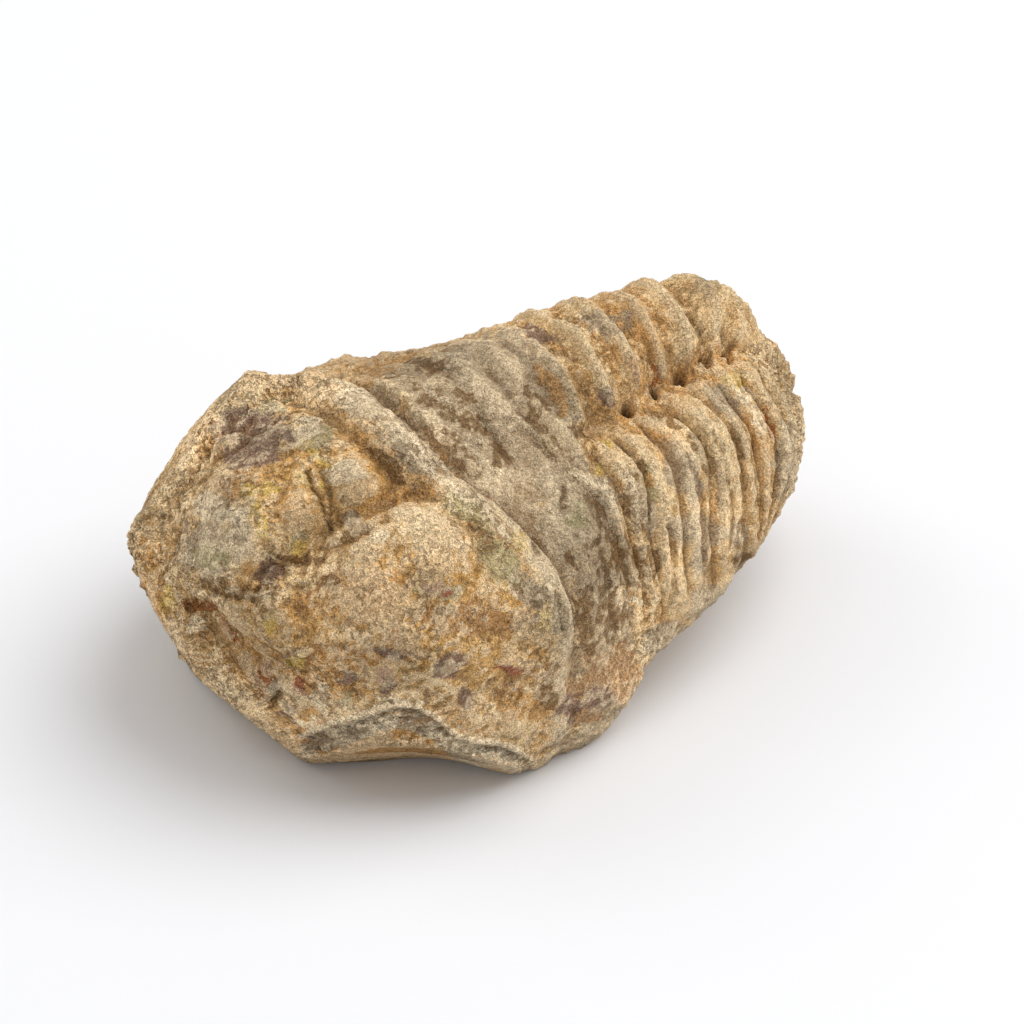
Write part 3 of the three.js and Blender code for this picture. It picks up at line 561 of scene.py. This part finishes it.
def head_relief(P, up, row):
    """Glabella, cheeks, rear border and the rolled border round the front."""
    x, y, z = np.moveaxis(P, -1, 0)
    out = np.abs(x)
    top = smooth(0.03, 0.4, up)
    side = smooth(-0.75, -0.3, up)
    furrow = (-0.75 * bump(out, curve(AXIS, 1, y) + 0.55, 0.95)
              * smooth(-12.5, -14, y) * smooth(-32, -29, y))
    cheeks = (dome(x, y, (13.6, -19.8), (6.8, 8.6), 2.5, 12, soft=1.1)
              + dome(x, y, (-13.8, -19.5), (6.8, 8.2), 2.2, -12, soft=1.1)
              + dome(x, y, (-18.6, -13.6), (3.2, 2.6), 0.6, soft=1))
    rear_furrow = bump(row, -14.7, 1.15) * smooth(22.5, 20.5, out)
    rear_border = (0.8 * bump(row, -12, 1.6) - 0.55 * rear_furrow) * (1 - 0.9 * smooth(-9, -15, x))
    drop = z - border_furrow_z(x)
    roll = ((1.2 * bump(drop, -4.2, 2.5) - 0.6 * bump(drop, 0, 1.1)) * smooth(-16, -25, y)
            * (1 - 0.45 * smooth(0, -8, x)) * smooth(-16, -6, x) * smooth(12, 3, x))
    return (glabella(x, y, z) + furrow + cheeks) * top + rear_border * smooth(9, 11, out) * side + roll


def lumps(P):
    """Slow, uneven swelling of the stone."""
    x, y, z = np.moveaxis(P, -1, 0)
    return (0.34 * np.sin(0.31 * x + 0.22 * y + 1.3) * np.sin(0.27 * z - 0.19 * y + 0.4)
            + 0.26 * np.sin(0.52 * y - 0.21 * x + 2.1) * np.sin(0.44 * x + 0.37 * z + 0.8)
            + 0.16 * np.sin(0.93 * x + 0.71 * z + 0.5) * np.sin(0.83 * y + 0.41 * z + 1.9)
            - sum(depth * bump(x, at_x, wide) * bump(y, at_y, long) * smooth(low, high, z)
                  for at_x, at_y, wide, long, depth, low, high in DENTS))


def settle(P):
    """Curls the tail down about a line across the body and trims the broken faces."""
    x, y, z = np.moveaxis(P, -1, 0)
    s = np.maximum(y - BEND_Y, 0)
    r = np.maximum(z - BEND_Z, 0)
    creep = BEND_CREEP * (0.5 + 0.5 * smooth(8, 20, z))
    bent_y = np.where(s > 0, BEND_Y + r * np.sin(s / BEND_RADIUS) + creep * s, y)
    bent_z = np.where((s > 0) & (r > 0), BEND_Z + r * np.cos(s / BEND_RADIUS), z)
    P = np.stack([x, bent_y, bent_z], -1)
    away = (x - SCOOP_AT[0]) ** 2 + (bent_y - SCOOP_AT[1]) ** 2
    scoop = SCOOP_DEPTH * np.exp(-away / SCOOP_RADIUS ** 2)
    for out, reach, cut in BROKEN_FACES:
        out = np.array(out)
        over = np.maximum(P @ out - reach + scoop * (out[0] > 0.5), 0)
        P = P - cut * over[..., None] * out
    return P


# ---- the near side as the camera sees it
def camera_axes():
    """Unit vectors right, up and back, towards the camera."""
    azimuth, elevation = np.radians(CAMERA_AZIMUTH), np.radians(CAMERA_ELEVATION)
    right = np.array([np.cos(azimuth), np.sin(azimuth), 0])
    level = np.array([np.sin(azimuth), -np.cos(azimuth), 0])
    back = level * np.cos(elevation) + np.array([0, 0, np.sin(elevation)])
    return right, np.cross(back, right), back


def camera_target():
    """The point in the middle of the picture."""
    right, up, _ = camera_axes()
    return AIM - AIM_IN_VIEW[0] * right - AIM_IN_VIEW[1] * up


def in_view(P):
    """Where points appear, in millimetres right and up of the middle of the picture."""
    right, up, back = camera_axes()
    d = P - camera_target()
    scale = 1 / (1 - d @ back / CAMERA_DISTANCE)
    return np.stack([d @ right * scale, d @ up * scale], -1)


def grid_normals(Q):
    """Unit vectors square to a grid of points, outwards."""
    N = unit(np.cross(np.gradient(Q, axis=0), np.roll(Q, -1, 1) - np.roll(Q, 1, 1)))
    outwards = ((Q - np.array([0, 0, 12])) * N).sum() > 0
    return N if outwards else -N


def facing_camera(Q, low=-0.1, high=0.2):
    """1 where the surface faces the camera, 0 where it faces away."""
    return smooth(low, high, grid_normals(Q) @ camera_axes()[2])


# ---- fine relief, only here
def rubble_at(P, placed, row):
    """Share of coarse, crumbly matrix left on the stone."""
    x, y, z = P[..., 0], P[..., 1], placed[..., 2]
    _, _, edge = segment_at(row)
    wander = 1.2 * fractal(placed, 5, 2, 3)
    head = smooth(-1, -8, x + wander) * smooth(-10, -15, y)
    front = 0.8 * bump(z, 18.5, 3.2) * smooth(-27, -31, y) * smooth(7, 1, x)
    cheek = 0.4 * bump(y, -22, 6) * smooth(9, 12, x) * smooth(17.5, 14, x + wander)
    valley = 0.7 * smooth(0.3, 0.1, edge) * smooth(3, 6, y) * smooth(9, 6, np.abs(x))
    tail = 0.7 * smooth(27, 33, y + wander)
    return np.maximum.reduce([head, front, cheek, valley, tail, 0.2 + 0 * x])


def layered_break(seen, facing):
    """The undercut face of broken layers below the cheek: share of it and depth below its edge."""
    edge = np.array(BREAK_EDGE)
    below = np.interp(seen[..., 0], edge[:, 0], edge[:, 1]) - seen[..., 1]
    share = smooth(0, 0.3, below) * smooth(-21, -18.5, seen[..., 0]) * smooth(3, 1.6, seen[..., 0])
    return share * facing * (seen[..., 1] < -15), below


def fold_share(x, y, row):
    """1 along the furrows between segments that show through the smooth stretch behind the head."""
    count, _, edge = segment_at(row)
    return bump(edge, 0, 0.16) * sediment_at(x, y) * smooth(0.4, 0.9, count) * smooth(12, 9, np.abs(x))


def grit(placed, rubble, sediment, smooth_skin):
    """Uneven swelling, grains and crumbs, weaker where sediment covers the stone."""
    first, second, _ = cells(placed + 0.3 * fractal(placed, 1.5, 2, 29)[..., None], 1.15, 27)
    crumbs = 0.8 * (np.clip(second - first, 0, 0.5) - 0.2) + 0.35 * fractal(placed, 1.6, 2, 23)
    return (0.28 * (1 - 0.6 * sediment) * fractal(placed, 6.0, 3, 9)
            + 0.16 * (1 - 0.8 * smooth_skin) * fractal(placed, 2.6, 3, 11, 0.6)
            + 0.15 * (1 - 0.3 * smooth_skin) * fractal(placed, 0.8, 2, 19, 0.7)
            + rubble * crumbs)


def broken_skins(x, y, placed):
    """Thin broken skins: plateaus with short steps at their edges."""
    skin = fractal(placed, 5.5, 4, 41, 0.6)
    flaky = smooth(9, 12, x) * smooth(-8, -12, y) + 0.6 * smooth(-14, -30, y) * bump(x, 2, 9)
    steps = sum(smooth(level - 0.03, level + 0.03, skin) - 0.5 for level in (-0.45, -0.15, 0.15, 0.45))
    return SKIN_STEP * np.clip(flaky, 0, 1) * steps


def drawn_lines(placed, seen, facing):
    """The cracks and ridges of the tables at the top."""
    shaken = seen + 0.12 * fractal(placed, 1.3, 2, 51)[..., None]
    cracks = sum(depth * bump(line_distance(shaken, line), 0, width)
                 for line, depth, width, _ in CRACKS.values())
    ridges = sum(height * bump(line_distance(seen, line), 0, width)
                 for line, height, width in RIDGES.values())
    return facing * (ridges - cracks)


def layer_steps(placed, seen):
    """Steps where the layers of the break under the cheek end."""
    broken, below = layered_break(seen, facing_camera(placed, -0.25, 0.0))
    layers = (below + 0.35 * fractal(placed, 4, 3, 61)) / LAYER_THICKNESS
    return broken * (LAYER_STEP * (layers - np.floor(layers)) ** 3 - LAYER_STEP)


def folded_streaks(seen, facing):
    """Streaks along the lower front edge."""
    along = seen @ np.array([0.74, -0.67])
    across = seen @ np.array([0.67, 0.74])
    streak = fractal(np.stack([along / 5, across, 0 * along], -1), 0.9, 3, 71, 0.6)
    return STREAK_HEIGHT * facing * streak * smooth(-17, -21, seen[..., 0]) * smooth(-11, -14, seen[..., 1])


def scattered_pits(placed, up, sediment):
    """Separate round pits, fewer below and under sediment."""
    near, _, number = cells(placed, PIT_SPACING, 5)
    pit = (number > 0.88) * smooth(0.26, 0.1, near)
    return -PIT_DEPTH * pit * (0.4 + 0.6 * smooth(-0.2, 0.3, up)) * (1 - 0.7 * sediment)


def fine_relief(P, up, row, placed, rubble):
    """All relief that is finer than the solid's. placed is where a point lies once the tail is bent."""
    x, y = P[..., 0], P[..., 1]
    seen, facing = in_view(placed), facing_camera(placed)
    sediment = sediment_at(x, y)
    smooth_skin = np.maximum(0.8 * sediment, 0.5 * bump(y, -12.1, 2.2) * (np.abs(x) < 9))
    return (grit(placed, rubble, sediment, smooth_skin)
            - FOLD_DEPTH * fold_share(x, y, row) + broken_skins(x, y, placed)
            + drawn_lines(placed, seen, facing) + layer_steps(placed, seen)
            + folded_streaks(seen, facing) + scattered_pits(placed, up, sediment))


# ---- the fine surface
def rows_of_grid():
    """Places along the body, closer together towards both ends."""
    front = np.sin(np.linspace(np.pi / 2, 0, FRONT_ROWS + 1)[1:])
    tail = np.sin(np.linspace(0, np.pi / 2, TAIL_ROWS + 1)[:-1])
    body = np.linspace(HEAD_CAP_Y, TAIL_CAP_Y, BODY_ROWS + 2)[1:-1]
    return np.concatenate([HEAD_CAP_Y + (FRONT_Y - HEAD_CAP_Y) * front, body,
                           TAIL_CAP_Y + (REAR_Y - TAIL_CAP_Y) * tail])


def columns_of_grid():
    """Places round the body: 1 to -1 over the top, then down the far side, under the base and up."""
    parts = [(1, 0, NEAR_COLUMNS), (0, -1, FAR_COLUMNS), (-1, -2, FAR_LOW), (-2, -3, BASE_COLUMNS),
             (-3 - 1e-4, -4 - 1e-4, NEAR_LOW)]
    return np.concatenate([np.linspace(start, end, count, endpoint=False) for start, end, count in parts])


def stone_surface():
    """The grid of points, and for each its x, y and row on the straight body and its rubble."""
    row, column = np.meshgrid(rows_of_grid(), columns_of_grid(), indexing="ij")
    straight = plain_point(row, column_angle(row, column))
    y = np.clip(row + sweep(straight[..., 0], row), FRONT_Y + 1e-3, REAR_Y - 1e-3)
    angle = column_angle(y, column)
    P = plain_point(y, angle)
    N = outward(y, angle)
    up = N[..., 2]
    off_base = smooth(-0.95, -0.6, up)
    is_back = smooth(BACK_Y - 2.8, BACK_Y - 1.6, row)
    relief = back_relief(P, up, row) * is_back + head_relief(P, up, row) * (1 - is_back)
    relief = relief + lumps(P) * off_base
    placed = settle(P + N * relief[..., None])
    rubble = rubble_at(P, placed, row)
    fine = fine_relief(P, up, row, placed, rubble) * off_base
    Q = settle(P + N * (relief + fine)[..., None])
    Q[..., 2] = np.maximum(Q[..., 2], 0)
    return Q, P[..., 0], P[..., 1], row, rubble


def hollowness(Q):
    """0.5 and more the further each point lies below its neighbours, near and far ones."""
    N = grid_normals(Q)
    rows = np.arange(len(Q))
    total = 0.5
    for reach, weight in ((2, 1.6), (5, 0.8), (11, 0.35)):
        ahead, behind = (Q[np.clip(rows + step, 0, rows[-1])] for step in (reach, -reach))
        around = np.roll(Q, reach, 1) + np.roll(Q, -reach, 1)
        total = total + weight * (((ahead + behind + around) / 4 - Q) * N).sum(-1)
    return np.clip(total, 0, 1)


def stain_shares(Q):
    """Share of each tint from the ovals drawn on the near side, and where that side is."""
    seen = in_view(Q)
    seen = seen + 0.7 * np.stack([fractal(Q, 2.2, 4, 101, 0.65), fractal(Q, 2.2, 4, 103, 0.65)], -1)
    facing = facing_camera(Q, -0.05, 0.15)
    shares = {}
    for tint, ovals in STAINS.items():
        amount = np.zeros(Q.shape[:-1])
        for right, up, length, height, *turn in ovals:
            a, b = oval(seen[..., 0], seen[..., 1], (right, up), (length, height), *turn)
            amount = np.maximum(amount, np.exp(-0.7 * (a * a + b * b) ** 1.3))
        shares[tint] = amount * facing
    return shares, facing


def crack_share(seen):
    """1 along the darkest drawn cracks, falling to 0 beside them."""
    return np.maximum.reduce([darkness * bump(line_distance(seen, line), 0, 0.9 * width)
                              for line, _, width, darkness in CRACKS.values()])


def hole_share(x, row):
    """1 inside the holes beside the axis."""
    share = np.zeros_like(x)
    for hole_y, hole_x, _ in hole_places():
        away = ((np.abs(x) - hole_x) / 0.6) ** 2 + ((row - hole_y) / 0.5) ** 2
        share = np.maximum(share, np.exp(-away))
    return share


def masks(Q, x, y, row, rubble):
    """Where each tint and each kind of surface lies, 0 to 1."""
    shares, facing = stain_shares(Q)
    out, furrow_x = np.abs(x), curve(AXIS, 1, y)
    seen = in_view(Q)
    count, _, edge = segment_at(row)
    furrow = bump(out, furrow_x + 0.9, 1.6)
    sediment = sediment_at(x, y)

    def add(name, share):
        shares[name] = np.maximum(shares[name], share)

    def unseen_patches(size, seed, low=0.15, high=0.7):
        return (1 - facing) * smooth(low, high, fractal(Q, size, 4, seed))

    # painted shade on faces that turn downwards
    add("shade", smooth(-0.15, -0.5, grid_normals(Q)[..., 2]))
    # painted shade along the furrows that show through behind the head
    add("shade", fold_share(x, y, row) * (0.6 + 0.4 * fractal(Q, 4, 3, 93)))
    valley = bump(edge, 0, 0.2) * smooth(1.5, 3.5, count) * (out < furrow_x)
    add("orange", 0.55 * valley * smooth(2.5, 6, y) * smooth(27, 20, y))
    add("orange", 0.6 * furrow * smooth(7, 13, y) * smooth(31, 27, y))
    add("orange", unseen_patches(12, 81, 0.1))
    add("grey", 0.75 * sediment)
    add("grey", 0.8 * unseen_patches(11, 83))
    add("brown", 0.8 * unseen_patches(9, 85))
    add("dark", 0.7 * unseen_patches(7, 87, 0.3, 0.8))
    add("pale", 0.4 * bump(row, -12.1, 1.8) * (out < 9))
    # a pale line along the edge of the break under the cheek, a painted highlight
    add("pale", facing * bump(line_distance(seen, BREAK_EDGE), 0, 0.28))
    shares["rubble"] = rubble
    shares["clean"] = np.maximum(0.8 * sediment, smooth(4, 8, y) * smooth(38, 30, y) * (1 - furrow))
    broken, below = layered_break(seen, facing_camera(Q, -0.5, -0.2))
    shares["strata"] = broken * smooth(0.1, 0.5, below)
    # the brown layers below are also painted shade under the overhang
    shares["brown_layers_and_painted_shade"] = broken * smooth(1.8, 3.0, below)
    seam = (bump(edge, 0, 0.05) * smooth(0.0, 0.35, fractal(Q, 5, 3, 91))
            * smooth(1.0, 3.0, out - furrow_x) * smooth(3, 8, y) * smooth(36, 30, y))
    shares["crack"] = np.maximum(facing * crack_share(seen), 0.7 * seam)
    # hole and hollow: where painted shade darkens holes and hollows; hollow also lightens raised parts
    shares["hole"] = hole_share(x, row)
    shares["hollow"] = hollowness(Q)
    return shares


def fit_to_box(Q):
    """Moves the body to the origin, just inside the solid's box."""
    low, high = Q.min((0, 1)), Q.max((0, 1))
    box = np.array(cad_box) * MM
    fit = np.minimum(1, (box[1] - box[0] - 2 * EDGE_GAP) / (high - low))
    centre, base = (low + high) / 2, box.mean(0)
    centre[2] = base[2] = 0
    return (Q - centre) * fit + base


def grid_faces(rows, columns):
    """Squares between the rows, and triangles to one middle point at each end."""
    index = np.arange(rows * columns).reshape(rows, columns)
    here, ahead = index[:-1], index[1:]
    quads = np.stack([here, ahead, np.roll(ahead, -1, 1), np.roll(here, -1, 1)], -1).reshape(-1, 4)
    first = np.stack([np.full(columns, rows * columns), index[0], np.roll(index[0], -1)], -1)
    last = np.stack([np.full(columns, rows * columns + 1), np.roll(index[-1], -1), index[-1]], -1)
    return quads.tolist() + first.tolist() + last.tolist()


def place(name, data, at=(0, 0, 0), towards=None):
    """Adds an object to the scene. A light or camera is turned to look along towards."""
    thing = bpy.data.objects.new(name, data)
    thing.location = at
    if towards is not None:
        thing.rotation_euler = Vector(towards).to_track_quat("-Z", "Y").to_euler()
    bpy.context.scene.collection.objects.link(thing)
    return thing


def make_stone():
    Q, *facts = stone_surface()
    attributes = masks(Q, *facts)
    Q = fit_to_box(Q)
    ends = np.stack([Q[0].mean(0), Q[-1].mean(0)])
    points = np.vstack([Q.reshape(-1, 3), ends]) / MM
    mesh = bpy.data.meshes.new("trilobite_stone")
    mesh.from_pydata(points.tolist(), [], grid_faces(*Q.shape[:2]))
    mesh.validate()
    mesh.polygons.foreach_set("use_smooth", [True] * len(mesh.polygons))
    for name, values in attributes.items():
        layer = mesh.attributes.new(name, "FLOAT", "POINT")
        flat = np.concatenate([values.reshape(-1), [values[0].mean(), values[-1].mean()]])
        layer.data.foreach_set("value", flat.astype(np.float32))
    mesh.update()
    return place("trilobite_stone", mesh)


# ---- materials
def srgb(red, green, blue):
    """A colour given as it looks on a screen, 0 to 255, as the linear values that nodes take."""
    value = np.array([red, green, blue]) / 255
    linear = np.where(value <= 0.04045, value / 12.92, ((value + 0.055) / 1.055) ** 2.4)
    return (*linear.tolist(), 1.0)


class Nodes:
    """Short names for the nodes of one material."""

    def __init__(self, name):
        self.material = bpy.data.materials.new(name)
        self.material.use_nodes = True
        self.tree = self.material.node_tree
        self.shader = self.tree.nodes["Principled BSDF"]

    def give(self, node, inputs):
        """Links or sets each input of a node."""
        for name, value in inputs.items():
            if isinstance(value, bpy.types.NodeSocket):
                self.tree.links.new(value, node.inputs[name])
            else:
                node.inputs[name].default_value = value

    def add(self, kind, output, inputs, **settings):
        """Makes a node and gives one of its outputs."""
        node = self.tree.nodes.new("ShaderNode" + kind)
        for name, value in settings.items():
            setattr(node, name, value)
        self.give(node, inputs)
        return node.outputs[output]

    def coordinates(self, scale=(1, 1, 1)):
        """Position on the stone in millimetres, stretched by scale."""
        where = self.add("TexCoord", "Object", {})
        return self.add("Mapping", "Vector", {"Vector": where, "Scale": [MM * k for k in scale]})

    def noise(self, vector, scale, detail, roughness, distortion=0.0):
        return self.add("TexNoise", "Fac", {"Vector": vector, "Scale": scale, "Detail": detail,
                                            "Roughness": roughness, "Distortion": distortion})

    def grains(self, vector, scale):
        """A number from 0 to 1 for each grain."""
        tint = self.add("TexVoronoi", "Color", {"Vector": vector, "Scale": scale})
        return self.add("SeparateColor", 0, {0: tint})

    def brighten(self, colour, factor):
        return self.add("VectorMath", 0, {0: colour, "Scale": factor}, operation="SCALE")

    def attribute(self, name):
        return self.add("Attribute", "Fac", {}, attribute_name=name)

    def range(self, value, low, high, out_low=0.0, out_high=1.0):
        """Like smooth, but from out_low at low to out_high at high."""
        return self.add("MapRange", "Result", {"Value": value, "From Min": low, "From Max": high,
                                               "To Min": out_low, "To Max": out_high},
                        interpolation_type="SMOOTHSTEP")

    def math(self, operation, a, b):
        return self.add("Math", 0, {0: a, 1: b}, operation=operation)

    def plus(self, a, b):
        return self.math("ADD", a, b)

    def times(self, a, b):
        return self.math("MULTIPLY", a, b)

    def mix(self, share, a, tint):
        """Colour a, with a share of a tint given as it looks."""
        b = tint if isinstance(tint, bpy.types.NodeSocket) else srgb(*tint)
        return self.add("Mix", 2, {0: share, 6: a, 7: b}, data_type="RGBA")

    def bump(self, height):
        """Surface direction for a height in millimetres."""
        return self.add("Bump", "Normal", {"Height": height, "Strength": 1.0, "Distance": 1 / MM})

    def finish(self, colour, roughness, specular, **inputs):
        """Gives the shader its inputs, and returns the material."""
        self.give(self.shader, {"Base Color": colour, "Roughness": roughness,
                                "Specular IOR Level": specular, **inputs})
        return self.material


def tinted(n, colour, rows, weight=None):
    """Lays tints over a colour. Rows: pattern, where it starts and is full, largest share, tint."""
    for pattern, low, high, share, tint in rows:
        amount = n.range(pattern, low, high, 0, share)
        if weight is not None:
            amount = n.times(amount, weight)
        colour = n.mix(amount, colour, tint)
    return colour


def bare_stone(n, mm, flakes, mottled):
    """Tan limestone with flakes and flecks."""
    flecks = n.noise(mm, 1.3, 3, 0.6, 0.8)
    broad = n.noise(mm, 0.16, 5, 0.6, 0.4)
    colour = tinted(n, srgb(190, 152, 102), [(broad, 0.4, 0.6, 1, (208, 178, 132))])
    return tinted(n, colour, [
        (flakes, 0.49, 0.55, 0.42, (162, 122, 74)), (flakes, 0.46, 0.42, 0.3, (214, 192, 158)),
        (flecks, 0.56, 0.62, 0.28, (144, 108, 64)), (flecks, 0.42, 0.36, 0.26, (224, 206, 174)),
    ], mottled)


def stained(n, colour, patchy):
    """Every tint of the table over the stone, with ragged edges."""
    ragged = n.times(patchy, 1.6)
    return tinted(n, colour, [
        (n.plus(n.attribute(name), ragged), *(limits or (0.36, 0.52)), share, tint)
        for name, (tint, share, *limits) in TINTS.items()])


def layered(n, colour):
    """Grey, pale and brown layers of the break under the cheek, and brown ones below, also painted shade.
    """
    layers = n.noise(n.coordinates((0.3, 0.3, 4.0)), 1.0, 5, 0.7, 0.5)
    strata = tinted(n, srgb(120, 108, 88), [
        (layers, 0.44, 0.52, 1, (160, 150, 130)), (layers, 0.54, 0.58, 1, (138, 104, 68))])
    return tinted(n, colour, [
        (n.attribute("strata"), 0.2, 0.6, 0.9, strata),
        (n.attribute("brown_layers_and_painted_shade"), 0.2, 0.8, 0.75, (158, 112, 50))])


def painted_hollow_shade_and_cracks(n, colour, patchy):
    """Painted shade in hollows and holes, dark cracks, and lighter raised parts."""
    hollow = n.attribute("hollow")
    ragged = n.plus(hollow, n.times(patchy, 0.3))
    # painted shade in hollows
    colour = tinted(n, colour, [(ragged, 0.55, 0.95, 0.5, (108, 78, 44))])
    colour = n.mix(n.times(n.attribute("crack"), 0.8), colour, (88, 64, 40))
    # painted shade in the holes, and lighter colour on raised parts
    return tinted(n, colour, [(n.attribute("hole"), 0.2, 0.8, 0.9, (60, 40, 22)),
                              (hollow, 0.46, 0.2, 0.45, (220, 198, 162))])


def brightness(n, mm, patchy):
    """Grains of sand, each with its own brightness, over broad zones of painted shade and painted light."""
    strength = n.plus(n.times(n.attribute("rubble"), 0.3), 0.8)
    fine = n.times(n.plus(n.grains(mm, 9.5), -0.5), strength)
    coarse = n.times(n.plus(n.noise(mm, 3.6, 3, 0.8), -0.5), 0.3)
    light = n.times(n.plus(n.plus(fine, coarse), 1.0), BRIGHTNESS)
    # painted shade darkens its zones and painted light brightens its zones
    for zone, factor in (("shade", 0.7), ("sand_and_painted_light", 1.3)):
        light = n.times(light, n.range(n.plus(n.attribute(zone), patchy), 0.1, 0.9, 1, factor))
    return n.times(light, n.range(n.attribute("clean"), 0, 1, 1, CLEAN_BRIGHTNESS))


def small_relief(n, mm, flakes, scales, pits, crumbly):
    """Millimetres of height. Steps are short and slopes between them gentle, so that the light still
    shows the larger forms."""
    height = n.times(n.range(pits, 0.38, 0.5), n.times(crumbly, 0.3))
    height = n.plus(height, n.times(n.range(n.noise(mm, 3.8, 2, 0.5, 0.4), 0.4, 0.52), 0.05))
    height = n.plus(height, n.times(n.noise(mm, 1.0, 3, 0.5), 0.2))
    height = n.plus(height, n.times(n.range(flakes, 0.49, 0.5), 0.12))
    return n.plus(height, n.times(scales, -0.05))


def stone_material():
    n = Nodes("fossil_stone")
    mm = n.coordinates()
    flakes = n.noise(mm, 0.42, 5, 0.62, 1.2)
    pits = n.noise(mm, 1.7, 3, 0.55, 0.6)
    scales = n.math("FRACT", n.times(n.noise(mm, 0.5, 4, 0.58, 0.8), 6.0), 0.0)
    patchy = n.plus(n.noise(mm, 0.8, 5, 0.64, 1.0), -0.5)
    # the ribs and the overgrown stretch are less mottled and less crumbly
    mottled = n.range(n.attribute("clean"), 0, 1, 1, 0.45)
    crumbly = n.plus(n.range(n.noise(mm, 0.22, 3, 0.6, 0.5), 0.44, 0.6, 0.25, 0.85),
                     n.times(n.attribute("rubble"), 0.5))
    crumbly = n.times(crumbly, mottled)
    colour = stained(n, bare_stone(n, mm, flakes, mottled), patchy)
    # painted shade and painted highlight along the edges of thin scales
    colour = tinted(n, colour, [(scales, 0.88, 0.98, 0.35, (126, 98, 66)),
                                (scales, 0.14, 0.04, 0.35, (230, 214, 182))], mottled)
    colour = painted_hollow_shade_and_cracks(n, layered(n, colour), patchy)
    # painted shade inside the pits
    colour = tinted(n, colour, [(pits, 0.44, 0.36, 0.7, (116, 82, 44))], crumbly)
    colour = n.brighten(colour, brightness(n, mm, patchy))
    height = small_relief(n, mm, flakes, scales, pits, crumbly)
    return n.finish(colour, ROUGHNESS, SPECULAR, Normal=n.bump(height))


def floor_material():
    return Nodes("floor_white").finish(srgb(*FLOOR_COLOUR), FLOOR_ROUGHNESS, FLOOR_SPECULAR)


# ---- stage
def make_camera():
    _, _, back = camera_axes()
    data = bpy.data.cameras.new("camera")
    data.sensor_width = SENSOR_WIDTH
    data.lens = PIXELS_PER_MM * CAMERA_DISTANCE / IMAGE_WIDTH * SENSOR_WIDTH
    data.clip_start = 0.01
    at = (camera_target() - BODY_MIDDLE + back * CAMERA_DISTANCE) / MM
    bpy.context.scene.camera = place("camera", data, at, -back)


def area_light(name, direction, distance, size, power, colour):
    data = bpy.data.lights.new(name, "AREA")
    data.shape = "DISK"
    data.size = size
    data.energy = power
    data.color = colour
    towards = Vector(direction).normalized()
    place(name, data, Vector(LIGHT_AIM) + towards * distance, -towards)


def make_stage():
    mesh = bpy.data.meshes.new("floor")
    side = FLOOR_HALF_WIDTH
    corners = [(-side, -side, 0), (side, -side, 0), (side, side, 0), (-side, side, 0)]
    mesh.from_pydata(corners, [], [(0, 1, 2, 3)])
    mesh.materials.append(floor_material())
    floor = place("floor", mesh)
    world = bpy.data.worlds.new("studio")
    world.use_nodes = True
    background = world.node_tree.nodes["Background"]
    background.inputs["Color"].default_value = (1, 1, 1, 1)
    background.inputs["Strength"].default_value = SKY_STRENGTH
    bpy.context.scene.world = world
    bpy.context.scene.view_settings.view_transform = "Standard"
    for name, settings in LIGHTS.items():
        area_light(name, *settings)


stone = make_stone()
stone.data.materials.append(stone_material())
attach(stone, "root")
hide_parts("trilobite_fossil")
make_stage()
make_camera()
